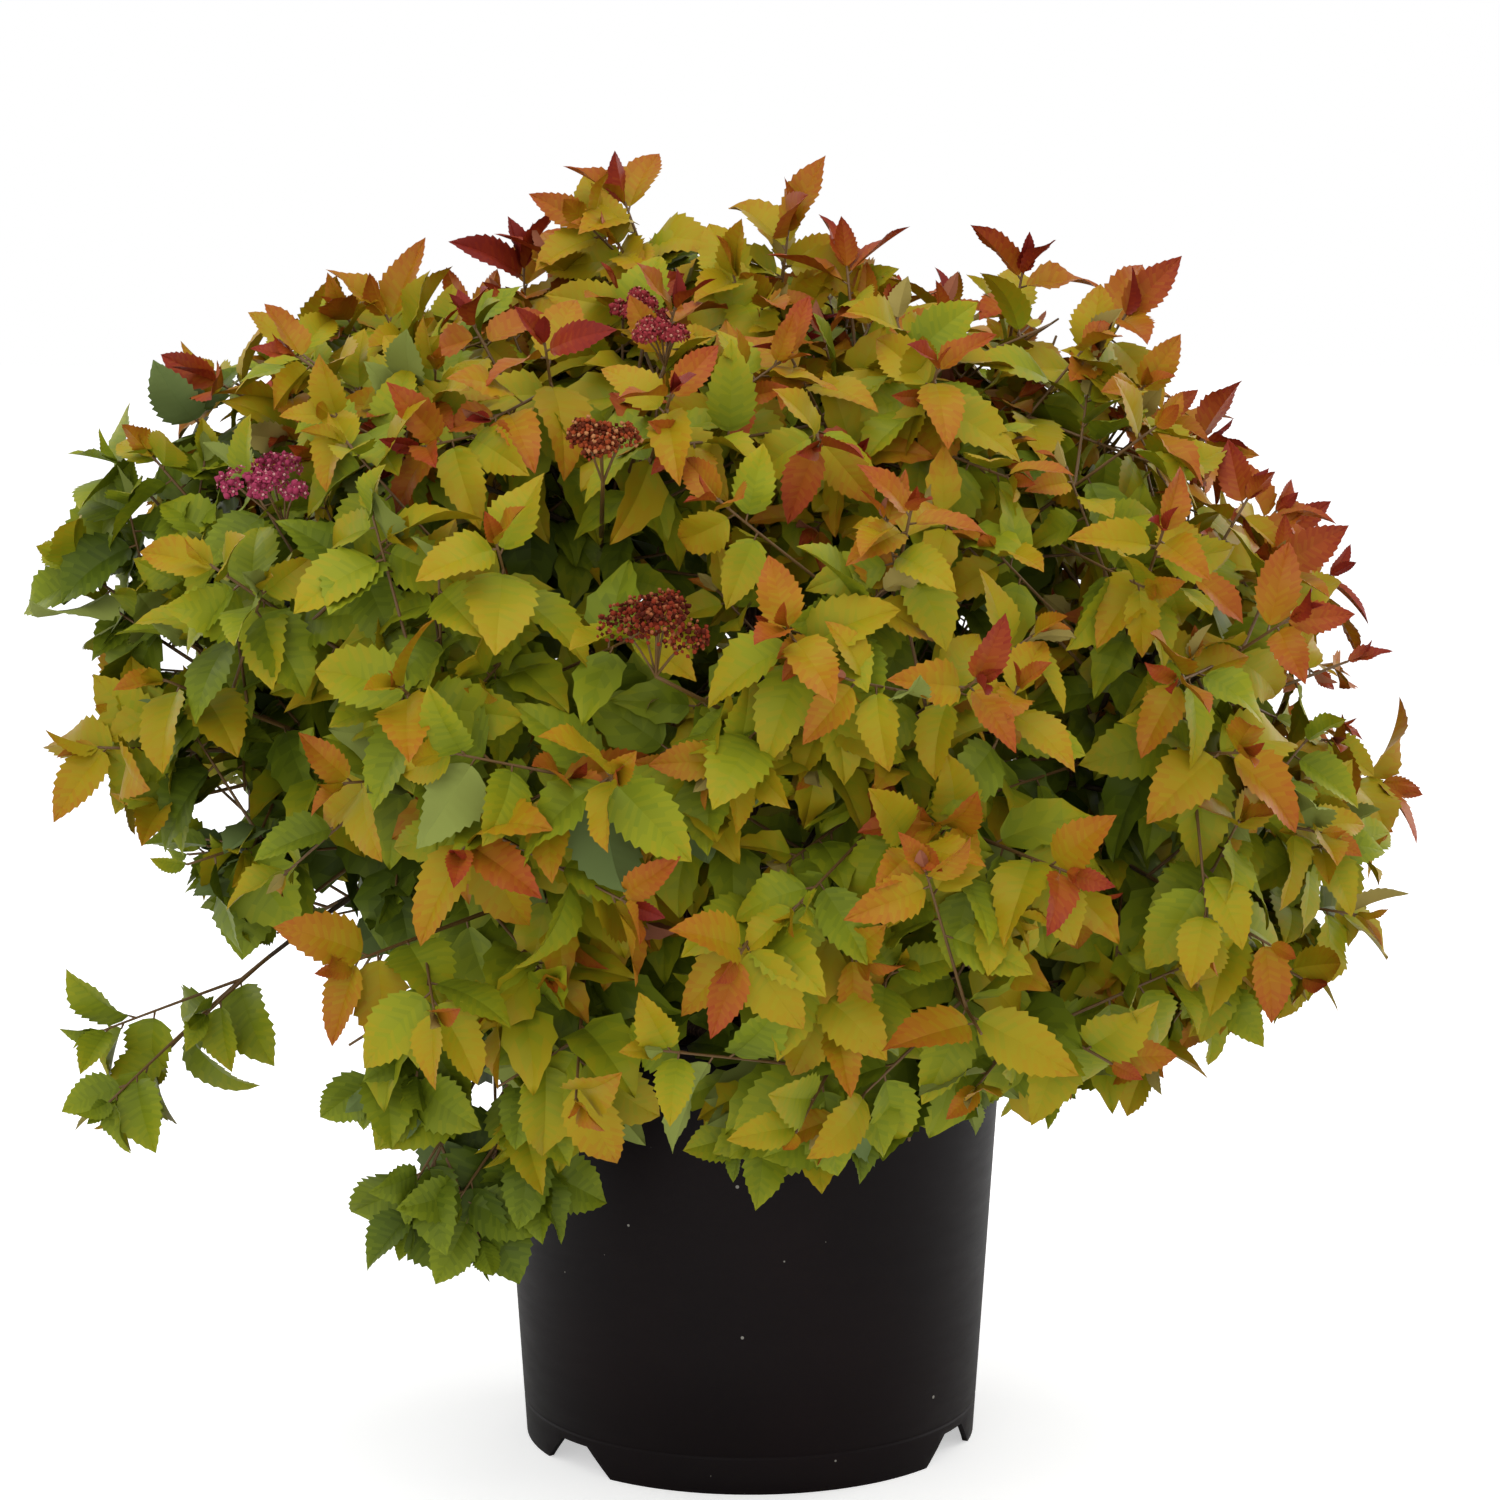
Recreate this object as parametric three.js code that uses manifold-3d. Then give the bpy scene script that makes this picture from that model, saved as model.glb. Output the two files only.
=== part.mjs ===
// A compact spirea shrub in a black nursery pot, in millimetres with +Z up.
// The origin is on the ground under the middle of the pot, and the plant's front faces -Y.
// Bearings are degrees round the pot's axis, from the front (-Y) towards the right (+X).
// Climbs are degrees above the level, seen from the middle of the crown.

import * as THREE from "three";
import { mergeVertices } from "three/addons/utils/BufferGeometryUtils.js";
import Module from "manifold-3d";

const wasm = await Module();
wasm.setup();

// Between pieces that meet
const GAP = 0.3;

// Pot: a moulded container with a stepped rim and three drainage notches in its foot
const POT_HEIGHT = 196;
const POT_BASE_RADIUS = 99.4;
const POT_SHOULDER_RADIUS = 110.8;
const POT_RIM_RADIUS = 120;
const POT_RIM_DEPTH = 19;
const POT_WALL = 2.5;
const POT_FLOOR_LIFT = 14;
const POT_SIDES = 36;
const LIP_BEVEL = 0.8;
const NOTCH_BEARINGS = [-49, 62, 187];
const NOTCH_HEIGHT = 12;
const NOTCH_WIDTH_LOW = 42;
const NOTCH_WIDTH_HIGH = 17;

// Potting mix, almost level with the step of the rim, and the woody stool that the stems rise from
const MIX_EDGE_HEIGHT = 173;
const MIX_TOP_HEIGHT = 177;
const MIX_LEVEL_RADIUS = 42;
const STOOL_RADIUS = 30;
const STOOL_HEIGHT = 9;
const STOOL_SIDES = 16;

// The crown is the surface that the leaf tips reach: a superellipsoid, squarer on its left, and
// drawn in round a hollow low on its left, given as [bearing, climb], its width in degrees
const CROWN_MIDDLE = new THREE.Vector3(-8, 0, 290);
const CROWN_SPREAD = 285;
const CROWN_RISE = 222;
const CROWN_DROP = 151;
const CROWN_FULLNESS = 3.15;
const CROWN_LEAN = 0.67;
const HOLLOW = [-80, -35];
const HOLLOW_WIDTH = 30;
const HOLLOW_DEPTH = 0.29;

// Masses of leaves in tiers. A tier's stems stand on the stool in its foot ring, rise, and bend
// out to the hubs, out from the axis and up, where each hands over to its mass.
const TIERS = [
  { name: "top", count: 1, bearing: 0, climb: 90, foot: 0, rise: 62, hubOut: 6, hubUp: 378 },
  { name: "upper", count: 5, bearing: -36, climb: 44, foot: 9, rise: 62, hubOut: 86, hubUp: 359 },
  { name: "side", count: 8, bearing: 16, climb: 9, foot: 17, rise: 62, hubOut: 117, hubUp: 289 },
  { name: "skirt", count: 6, bearing: -30, climb: -20, foot: 24, rise: 34, hubOut: 118, hubUp: 274 },
];
const SEED_SHARE = 0.73;
const MASS_SEED = 9;
const MASS_BEARING_SCATTER = 12;
const MASS_CLIMB_SCATTER = 12;
const HUB_HEIGHT_SCATTER = 16;
const STEM_FOOT_RADIUS = 3.4;
const STEM_TIP_RADIUS = 2.3;
const STEM_LEAD = 45;
const STEM_SIDES = 5;
const STEM_STEPS = 4;

// Shoots: a spiral over the crown, closer together towards its top by the power CROWDING, and
// some that outreach it as [bearing, climb, reach]
const SHOOTS = 120;
const LOWEST_RISE = -0.58;
const CROWDING = 1.15;
const GOLDEN_ANGLE = 137.508;
const SHOOT_SCATTER = 5;
const SHOOT_DEPTH = 0.09;
const SHOOT_SEED = 11;
const STRAYS = [
  [-62, 78, 266], // the leader, above the left shoulder
  [-82, 71, 247],
  [-85, 69, 250],
  [24, 76, 256],
  [38, 72, 246],
  [78, 61, 264],
  [74, 50, 276],
  [83, 28, 273],
  [95, -1, 303], // furthest to the right
  [76, -10, 287],
  [63, -19, 259],
  [52, -22, 240],
  [-79, 20, 310], // furthest to the left
  [-82, 29, 308],
  [-83, 38, 292],
  [-77, 54, 262],
  [-73, 5, 288],
  [-78, -29, 320], // droops low on the left
  [-42, -42, 276], // hangs beside the pot
  [-36, -46, 262],
  [-47, -30, 252],
  [-27, -37, 238],
  [8, -40, 224],
  [168, 23, 303], // high at the back
];

// Wood inside a mass: a four-sided stem from the hub, and three-sided twigs rooted along it
const MASS_STEM_SHARE = 0.47;
const MASS_STEM_SIDES = 4;
const MASS_STEM_RADIUS = 2.8;
const MASS_STEM_END_RADIUS = 2.2;
const FIRST_TWIG = 0.08;
const LAST_TWIG = 0.96;
const TWIG_FOOT_RADIUS = 1.3;
const TWIG_TIP_RADIUS = 1.05;
const TWIG_SIDES = 3;
const TWIG_STEPS = 2;
const TWIG_BEND = 0.33;
const TWIG_LIFT = 0.03;

// Leaves, fewer and larger than life so that the crown closes. Stations are distances back from
// the end of a shoot, and each leaf turns on round its twig from the one before.
const LEAF_LENGTH = 60;
const LEAF_WIDTH_SHARE = 0.74;
const LEAF_WIDEST = 0.45;
const LEAF_THICKNESS = 2.4;
const LEAF_ROOT = 0.3;
const LAST_LEAF_SHARE = 0.79;
const LEAF_STATIONS = [0, 12, 26, 42, 60, 80];
const LEAF_SPREADS = [10, 50, 60, 68, 74, 74];
const LAST_LEAF_STEP = 14;
const LEAF_SAGS = [0.1, 0.35, 0.35, 0.4, 0.4, 0.4];
const LEAF_TURN = 144;
const SHOOT_TURN = 35;
const LEAF_TRIES = 10;
const TRY_TURN = 76;
const SKYWARD = 0.16;
const BARE_FOOT = 0.12;
const SPACE_MARGIN = 0.25;
const LIMB_CLEARANCE = 0.6;
const POT_CLEARANCE = 1;

// Flower heads: flat-topped clusters as [bearing, climb, share of the crown's reach, radius]
const HEADS = [
  [-46, 29, 0.93, 19],
  [-19, 62, 0.93, 16],
  [-9, 50, 0.94, 18],
  [-12, 34, 0.94, 18],
  [-6, 19, 0.94, 22],
  [118, 40, 0.94, 19],
  [160, 20, 0.94, 21],
  [245, 30, 0.93, 19],
];
const HEAD_FLATNESS = 0.5;

const UP = new THREE.Vector3(0, 0, 1);

const POT_BLACK = { color: 0x1b1a1a, roughness: 0.5, metalness: 0 };
const MIX_BROWN = { color: 0x3a2a1e, roughness: 0.95, metalness: 0 };
const BARK_BROWN = { color: 0x4a3323, roughness: 0.85, metalness: 0 };
const LEAF_COLOURS = { top: 0xa4602a, upper: 0xa3752a, side: 0x8d8a25, skirt: 0x77852a };

// Every draw comes from one of these, so the plant is the same each time.
function seededRandom(seed) {
  let state = seed >>> 0;
  return () => {
    state = (state + 0x6d2b79f5) >>> 0;
    let bits = Math.imul(state ^ (state >>> 15), state | 1);
    bits ^= bits + Math.imul(bits ^ (bits >>> 7), bits | 61);
    return ((bits ^ (bits >>> 14)) >>> 0) / 4294967296;
  };
}

function direction(bearing, climb) {
  const round = THREE.MathUtils.degToRad(bearing);
  const up = THREE.MathUtils.degToRad(climb);
  const level = Math.cos(up);
  return new THREE.Vector3(Math.sin(round) * level, -Math.cos(round) * level, Math.sin(up));
}

// How far the crown reaches from its middle along a unit vector.
function crownReach(way) {
  const fullness = CROWN_FULLNESS - CROWN_LEAN * way.x;
  const level = Math.hypot(way.x, way.y) / CROWN_SPREAD;
  const upright = Math.abs(way.z) / (way.z > 0 ? CROWN_RISE : CROWN_DROP);
  const aside = THREE.MathUtils.radToDeg(way.angleTo(direction(...HOLLOW))) / HOLLOW_WIDTH;
  const drawnIn = 1 - HOLLOW_DEPTH * Math.exp(-(aside ** 2));
  return drawnIn * (level ** fullness + upright ** fullness) ** (-1 / fullness);
}

function crownPoint(way, share) {
  return CROWN_MIDDLE.clone().addScaledVector(way, crownReach(way) * share);
}

// Solids for joining and cutting

function solidOf(geometry) {
  const bare = geometry.clone();
  bare.deleteAttribute("normal");
  bare.deleteAttribute("uv");
  const merged = mergeVertices(bare, 1e-4);
  return new wasm.Manifold(new wasm.Mesh({
    numProp: 3,
    vertProperties: merged.attributes.position.array,
    triVerts: new Uint32Array(merged.index.array),
  }));
}

function geometryOf(solid) {
  const { vertProperties, triVerts } = solid.getMesh();
  const geometry = new THREE.BufferGeometry();
  geometry.setAttribute("position", new THREE.BufferAttribute(vertProperties, 3));
  geometry.setIndex(new THREE.BufferAttribute(triVerts, 1));
  geometry.computeVertexNormals();
  return geometry;
}

// The largest body of a solid, which leaves out loose scraps and fills sealed hollows.
function largestBody(solid) {
  const bodies = solid.decompose();
  return bodies.reduce((best, body) => (body.volume() > best.volume() ? body : best));
}

function piece(name, geometry, finish) {
  const material = new THREE.MeshStandardMaterial({ ...finish, flatShading: true });
  const mesh = new THREE.Mesh(geometry, material);
  mesh.name = name;
  return mesh;
}

// A lathe turns about Y, so its result is stood up to turn about Z.
function turned(outline, sides) {
  const points = outline.map(([radius, height]) => new THREE.Vector2(radius, height));
  return new THREE.LatheGeometry(points, sides).rotateX(Math.PI / 2);
}

// A closed limb that follows a curve and narrows evenly: a cylinder bent onto the curve's frames.
function taperedLimb(curve, footRadius, tipRadius, sides, steps) {
  const limb = new THREE.CylinderGeometry(tipRadius, footRadius, 1, sides, steps);
  const frames = curve.computeFrenetFrames(steps, false);
  const places = limb.attributes.position;
  for (let i = 0; i < places.count; i++) {
    const along = places.getY(i) + 0.5;
    const step = Math.round(along * steps);
    const place = curve.getPointAt(along)
      .addScaledVector(frames.normals[step], places.getX(i))
      .addScaledVector(frames.binormals[step], -places.getZ(i));
    places.setXYZ(i, place.x, place.y, place.z);
  }
  return solidOf(limb);
}

// Pot

function potSolid() {
  const shoulder = POT_HEIGHT - POT_RIM_DEPTH;
  const slope = (POT_SHOULDER_RADIUS - POT_BASE_RADIUS) / shoulder;
  const outside = (height) => POT_BASE_RADIUS + slope * height;
  const inside = (height) => outside(height) - POT_WALL;
  const shell = solidOf(turned([
    [0, POT_FLOOR_LIFT],
    [inside(POT_FLOOR_LIFT), POT_FLOOR_LIFT],
    [inside(0), 0],
    [outside(0), 0],
    [outside(shoulder), shoulder],
    [POT_RIM_RADIUS - LIP_BEVEL, shoulder],
    [POT_RIM_RADIUS, shoulder + LIP_BEVEL],
    [POT_RIM_RADIUS, POT_HEIGHT - LIP_BEVEL],
    [POT_RIM_RADIUS - LIP_BEVEL, POT_HEIGHT],
    [POT_RIM_RADIUS - POT_WALL, POT_HEIGHT],
    [POT_RIM_RADIUS - POT_WALL, shoulder + POT_WALL],
    [inside(shoulder + POT_WALL), shoulder + POT_WALL],
    [inside(POT_FLOOR_LIFT + POT_WALL), POT_FLOOR_LIFT + POT_WALL],
    [0, POT_FLOOR_LIFT + POT_WALL],
  ], POT_SIDES));
  return NOTCH_BEARINGS.reduce((pot, bearing) => pot.subtract(notchCutter(bearing)), shell);
}

// A trapezoid, wide at the ground and wider just below it, pushed through the foot of the wall.
function notchCutter(bearing) {
  const slant = (NOTCH_WIDTH_LOW - NOTCH_WIDTH_HIGH) / 2 / NOTCH_HEIGHT;
  const halfWidth = NOTCH_WIDTH_LOW / 2 + slant * POT_WALL;
  const outline = new THREE.Shape([
    new THREE.Vector2(-halfWidth, -POT_WALL),
    new THREE.Vector2(halfWidth, -POT_WALL),
    new THREE.Vector2(NOTCH_WIDTH_HIGH / 2, NOTCH_HEIGHT),
    new THREE.Vector2(-NOTCH_WIDTH_HIGH / 2, NOTCH_HEIGHT),
  ]);
  const cutter = new THREE.ExtrudeGeometry(outline, {
    depth: POT_RIM_RADIUS / 2,
    bevelEnabled: false,
  });
  cutter.rotateX(Math.PI / 2);
  cutter.translate(0, -POT_RIM_RADIUS / 2, 0);
  cutter.rotateZ(THREE.MathUtils.degToRad(bearing));
  return solidOf(cutter);
}

// The room of the pot and its filling, with a little clearance, which foliage stays out of.
function potRoom() {
  const shoulder = POT_HEIGHT - POT_RIM_DEPTH - POT_CLEARANCE;
  return solidOf(turned([
    [0, 0],
    [POT_BASE_RADIUS + POT_CLEARANCE, 0],
    [POT_SHOULDER_RADIUS + POT_CLEARANCE, shoulder],
    [POT_RIM_RADIUS + POT_CLEARANCE, shoulder],
    [POT_RIM_RADIUS + POT_CLEARANCE, POT_HEIGHT + POT_CLEARANCE],
    [0, POT_HEIGHT + POT_CLEARANCE],
  ], POT_SIDES));
}

// The mix fills the pot, so its sides follow the inner wall.
function mixGeometry() {
  const slope = (POT_SHOULDER_RADIUS - POT_BASE_RADIUS) / (POT_HEIGHT - POT_RIM_DEPTH);
  const fill = (height) => POT_BASE_RADIUS + slope * height - POT_WALL - GAP;
  const bottom = POT_FLOOR_LIFT + POT_WALL + GAP;
  return turned([
    [0, bottom],
    [fill(bottom), bottom],
    [fill(MIX_EDGE_HEIGHT), MIX_EDGE_HEIGHT],
    [MIX_LEVEL_RADIUS, MIX_TOP_HEIGHT],
    [0, MIX_TOP_HEIGHT],
  ], POT_SIDES);
}

const STOOL_FOOT = MIX_TOP_HEIGHT + GAP;
const STOOL_TOP = STOOL_FOOT + STOOL_HEIGHT;

function stoolGeometry() {
  return turned([
    [0, STOOL_FOOT],
    [STOOL_RADIUS, STOOL_FOOT],
    [STOOL_RADIUS * 1.06, STOOL_FOOT + STOOL_HEIGHT * 0.4],
    [STOOL_RADIUS * 0.96, STOOL_TOP],
    [0, STOOL_TOP],
  ], STOOL_SIDES);
}

// Masses and their stems

// A mass has a seed point in its middle and a hub where its stem arrives. Its space is everything
// nearer to its own seed than to another's. A little scatter keeps the tiers from showing.
function layOutMasses() {
  const random = seededRandom(MASS_SEED);
  return TIERS.flatMap((tier) => Array.from({ length: tier.count }, (_, k) => {
    const evenBearing = tier.bearing + (k * 360) / tier.count;
    const bearing = evenBearing + (random() - 0.5) * MASS_BEARING_SCATTER;
    const climb = tier.climb + (random() - 0.5) * MASS_CLIMB_SCATTER;
    const hubHeight = tier.hubUp + (random() - 0.5) * HUB_HEIGHT_SCATTER;
    const way = direction(bearing, climb);
    const hub = direction(bearing, 0).multiplyScalar(tier.hubOut).setZ(hubHeight);
    const seed = crownPoint(way, SEED_SHARE);
    return {
      rise: tier.rise,
      label: tier.count > 1 ? `${tier.name}_${k + 1}` : tier.name,
      colour: LEAF_COLOURS[tier.name],
      foot: direction(evenBearing, 0).multiplyScalar(tier.foot).setZ(STOOL_TOP + GAP),
      hub,
      seed,
      edge: crownPoint(way, 1),
      arrival: seed.clone().sub(hub).normalize(),
      reaches: [],
    };
  }));
}

function nearestMass(masses, point) {
  const distance = (mass) => mass.seed.distanceTo(point);
  return masses.reduce((best, mass) => (distance(mass) < distance(best) ? mass : best));
}

// The walls of a mass's space, each half way to another seed and facing inwards.
function spaceWalls(masses, mass) {
  return masses.filter((other) => other !== mass).map((other) => {
    const inward = mass.seed.clone().sub(other.seed).normalize();
    const halfWay = mass.seed.clone().add(other.seed).multiplyScalar(0.5);
    return new THREE.Plane().setFromNormalAndCoplanarPoint(inward, halfWay);
  });
}

function insideSpace(solid, walls) {
  const places = solid.getMesh().vertProperties;
  const place = new THREE.Vector3();
  for (let i = 0; i < places.length; i += 3) {
    place.fromArray(places, i);
    if (walls.some((wall) => wall.distanceToPoint(place) < SPACE_MARGIN)) {
      return false;
    }
  }
  return true;
}

// A stem stands up from the stool, then bends out to its mass's hub.
function stemSolid(mass, extraRadius) {
  const curve = new THREE.CubicBezierCurve3(
    mass.foot,
    mass.foot.clone().addScaledVector(UP, mass.rise),
    mass.hub.clone().addScaledVector(mass.arrival, -STEM_LEAD),
    mass.hub,
  );
  const footRadius = STEM_FOOT_RADIUS + extraRadius;
  const tipRadius = STEM_TIP_RADIUS + extraRadius;
  return taperedLimb(curve, footRadius, tipRadius, STEM_SIDES, STEM_STEPS);
}

// Shoots, leaves and flower heads

// The points that the shoots' last leaves reach.
function shootReaches() {
  const random = seededRandom(SHOOT_SEED);
  const reaches = [];
  for (let i = 0; i < SHOOTS; i++) {
    const rise = 1 - (1 - LOWEST_RISE) * ((i + 0.5) / SHOOTS) ** CROWDING;
    const climb = THREE.MathUtils.radToDeg(Math.asin(rise)) + (random() - 0.5) * SHOOT_SCATTER;
    const bearing = i * GOLDEN_ANGLE + (random() - 0.5) * 2 * SHOOT_SCATTER;
    const share = 1 - SHOOT_DEPTH * random() ** 2;
    reaches.push(crownPoint(direction(bearing, climb), share));
  }
  for (const [bearing, climb, reach] of STRAYS) {
    reaches.push(CROWN_MIDDLE.clone().addScaledVector(direction(bearing, climb), reach));
  }
  return reaches;
}

// Twigs turn up a little towards the light high in the crown, and droop under its edge.
function twigCurve(start, reach, lastLeaf) {
  const height = reach.clone().sub(CROWN_MIDDLE).normalize().z;
  const lift = TWIG_LIFT * THREE.MathUtils.clamp(2 * height + 0.3, -1, 1);
  const arrival = reach.clone().sub(start).normalize().addScaledVector(UP, lift).normalize();
  const end = reach.clone().addScaledVector(arrival, -lastLeaf);
  const bend = end.clone().addScaledVector(arrival, -TWIG_BEND * start.distanceTo(reach));
  return new THREE.QuadraticBezierCurve3(start, bend, end);
}

function twigSolid(curve) {
  return taperedLimb(curve, TWIG_FOOT_RADIUS, TWIG_TIP_RADIUS, TWIG_SIDES, TWIG_STEPS);
}

// A mass's own stem, and the curves of its shoots: those that turn off furthest leave it first.
function layOutShoots(mass) {
  const length = mass.hub.distanceTo(mass.edge) * MASS_STEM_SHARE;
  const stem = new THREE.LineCurve3(
    mass.hub.clone().addScaledVector(mass.arrival, GAP),
    mass.hub.clone().addScaledVector(mass.arrival, length),
  );
  const turnOff = (reach) => reach.clone().sub(mass.hub).angleTo(mass.arrival);
  const inOrder = [...mass.reaches].sort((a, b) => turnOff(b) - turnOff(a));
  const shoots = inOrder.map((reach, k) => {
    const station = FIRST_TWIG + ((LAST_TWIG - FIRST_TWIG) * (k + 0.5)) / inOrder.length;
    const curve = twigCurve(stem.getPointAt(station), reach, LEAF_LENGTH * LAST_LEAF_SHARE);
    return { curve, turn: k * SHOOT_TURN };
  });
  return { stem, shoots };
}

// A blade with a raised midrib: a tetrahedron whose upper edge runs from the root to the tip and
// whose lower edge runs across the leaf at its widest.
function leafSolid(root, along, face, length) {
  const across = face.clone().cross(along);
  const blade = new THREE.TetrahedronGeometry(Math.sqrt(3));
  const corners = blade.attributes.position;
  for (let i = 0; i < corners.count; i++) {
    const corner = root.clone();
    if (corners.getZ(i) > 0) {
      corner.addScaledVector(along, corners.getX(i) > 0 ? length : -LEAF_ROOT);
    } else {
      corner.addScaledVector(along, length * LEAF_WIDEST);
      corner.addScaledVector(across, (corners.getY(i) * length * LEAF_WIDTH_SHARE) / 2);
      corner.addScaledVector(face, -LEAF_THICKNESS);
    }
    corners.setXYZ(i, corner.x, corner.y, corner.z);
  }
  return solidOf(blade);
}

// A leaf leaves its twig at an angle, sags, and turns its upper side out and up to the light.
function placedLeaf(curve, along, turn, rank, tries) {
  const root = curve.getPointAt(along);
  const tangent = curve.getTangentAt(along);
  const level = tangent.clone().cross(UP).normalize();
  const upright = level.clone().cross(tangent);
  const round = THREE.MathUtils.degToRad(turn + rank * LEAF_TURN + tries * TRY_TURN);
  const wider = rank === 0 ? tries * LAST_LEAF_STEP : 0;
  const spread = THREE.MathUtils.degToRad(LEAF_SPREADS[rank] + wider);
  const way = tangent.clone().multiplyScalar(Math.cos(spread))
    .addScaledVector(level, Math.sin(spread) * Math.cos(round))
    .addScaledVector(upright, Math.sin(spread) * Math.sin(round))
    .addScaledVector(UP, -LEAF_SAGS[rank])
    .normalize();
  const light = root.clone().sub(CROWN_MIDDLE).normalize().addScaledVector(UP, SKYWARD);
  const face = light.addScaledVector(way, -light.dot(way)).normalize();
  return leafSolid(root, way, face, LEAF_LENGTH);
}

// A head is a flattened ball that faces out and up, on a twig of its own.
function headParts(stem, [bearing, climb, share, radius]) {
  const middle = crownPoint(direction(bearing, climb), share);
  const axis = middle.clone().sub(CROWN_MIDDLE).normalize().add(UP).normalize();
  const curve = twigCurve(stem.getPointAt(0.5), middle, 0);
  const ball = new THREE.IcosahedronGeometry(radius, 0)
    .scale(1, 1, HEAD_FLATNESS)
    .applyQuaternion(new THREE.Quaternion().setFromUnitVectors(UP, axis))
    .translate(middle.x, middle.y, middle.z);
  return [twigSolid(curve), solidOf(ball)];
}

// A mass is its stem, its heads, its twigs and then its leaves, from the tips of the shoots
// inwards, fused into one. What would leave the mass's space, touch a limb or cross a leaf is
// turned round its twig, and left out where no turn helps.
function massSolid(mass, keepClear, heads) {
  const { stem, shoots } = layOutShoots(mass);
  const fits = (solid) => insideSpace(solid, mass.walls) && solid.intersect(keepClear).isEmpty();
  const parts = [taperedLimb(stem, MASS_STEM_RADIUS, MASS_STEM_END_RADIUS, MASS_STEM_SIDES, 1)];
  parts.push(...heads.flatMap((head) => headParts(stem, head)).filter(fits));
  for (const shoot of shoots) {
    shoot.twig = twigSolid(shoot.curve);
  }
  const grown = shoots.filter((shoot) => fits(shoot.twig));
  parts.push(...grown.map((shoot) => shoot.twig));

  const crosses = (leaf, twig) => parts.some((part) => (
    part !== twig && !part.intersect(leaf).isEmpty()
  ));
  LEAF_STATIONS.forEach((station, rank) => {
    for (const { curve, turn, twig } of grown) {
      const along = 1 - station / curve.getLength();
      for (let tries = 0; along > BARE_FOOT && tries < LEAF_TRIES; tries++) {
        const leaf = placedLeaf(curve, along, turn, rank, tries);
        if (fits(leaf) && !crosses(leaf, twig)) {
          parts.push(leaf);
          break;
        }
      }
    }
  });
  return largestBody(wasm.Manifold.union(parts));
}

// The whole plant

const shrub = new THREE.Group();
shrub.name = "potted_shrub";
shrub.add(piece("pot", geometryOf(potSolid()), POT_BLACK));
shrub.add(piece("potting_mix", mixGeometry(), MIX_BROWN));
shrub.add(piece("stool", stoolGeometry(), BARK_BROWN));

const masses = layOutMasses();
for (const mass of masses) {
  mass.walls = spaceWalls(masses, mass);
}
for (const reach of shootReaches()) {
  nearestMass(masses, reach).reaches.push(reach);
}
const headsOf = (mass) => HEADS.filter(([bearing, climb, share]) => (
  nearestMass(masses, crownPoint(direction(bearing, climb), share)) === mass
));
const thickStems = masses.map((mass) => stemSolid(mass, LIMB_CLEARANCE));
const keepClear = wasm.Manifold.union([potRoom(), ...thickStems]);
for (const mass of masses) {
  shrub.add(piece(`stem_${mass.label}`, geometryOf(stemSolid(mass, 0)), BARK_BROWN));
}
for (const mass of masses) {
  const solid = massSolid(mass, keepClear, headsOf(mass));
  const finish = { color: mass.colour, roughness: 0.6, metalness: 0 };
  shrub.add(piece(`leaves_${mass.label}`, geometryOf(solid), finish));
}

export default shrub;
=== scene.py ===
# A compact spirea shrub in a black nursery pot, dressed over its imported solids.
# Sizes are in millimetres until a mesh is made, +Z is up, and the plant's front faces -Y.
# Bearings are degrees round the pot's axis, from the front (-Y) towards the right (+X).
# Climbs are degrees above the level, seen from the middle of the crown.

from math import asin, cos, degrees, pi, radians, sin, sqrt

import bpy
import numpy as np
from mathutils import Matrix, Vector
from numpy.linalg import norm


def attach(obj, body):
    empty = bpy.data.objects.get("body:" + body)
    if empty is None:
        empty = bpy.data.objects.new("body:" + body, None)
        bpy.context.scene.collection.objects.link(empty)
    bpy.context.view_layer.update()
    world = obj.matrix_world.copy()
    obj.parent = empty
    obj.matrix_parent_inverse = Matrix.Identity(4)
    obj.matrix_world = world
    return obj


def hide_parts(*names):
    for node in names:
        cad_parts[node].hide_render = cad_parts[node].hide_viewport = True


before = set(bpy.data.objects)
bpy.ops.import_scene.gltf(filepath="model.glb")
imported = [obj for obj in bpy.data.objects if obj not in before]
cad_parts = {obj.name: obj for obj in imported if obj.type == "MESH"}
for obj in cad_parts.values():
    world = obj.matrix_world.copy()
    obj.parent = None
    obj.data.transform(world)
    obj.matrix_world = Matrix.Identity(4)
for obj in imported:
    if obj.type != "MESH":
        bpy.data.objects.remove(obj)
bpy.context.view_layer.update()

MM = 0.001
UP = np.array([0.0, 0.0, 1.0])

# Pot, as in the part's source
POT_HEIGHT = 196
POT_BASE_RADIUS = 99.4
POT_SHOULDER_RADIUS = 110.8
POT_RIM_RADIUS = 120
POT_RIM_DEPTH = 19
POT_WALL = 2.5
POT_FLOOR_LIFT = 14
POT_FLOOR_TOP = 16.5
POT_FACETS = 120
NOTCH_BEARINGS = [-49, 62, 187]
NOTCH_HEIGHT = 12
NOTCH_WIDTH_LOW = 42
NOTCH_WIDTH_HIGH = 17

# Potting mix and stool
MIX_EDGE_HEIGHT = 173
MIX_TOP_HEIGHT = 177
MIX_LEVEL_RADIUS = 42
BARK_CHIPS = 150
CHIPS_FROM = 34
CHIPS_ACROSS = 66
STOOL_RADIUS = 30
STOOL_FOOT = 177.3
STOOL_TOP = 186.3

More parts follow.
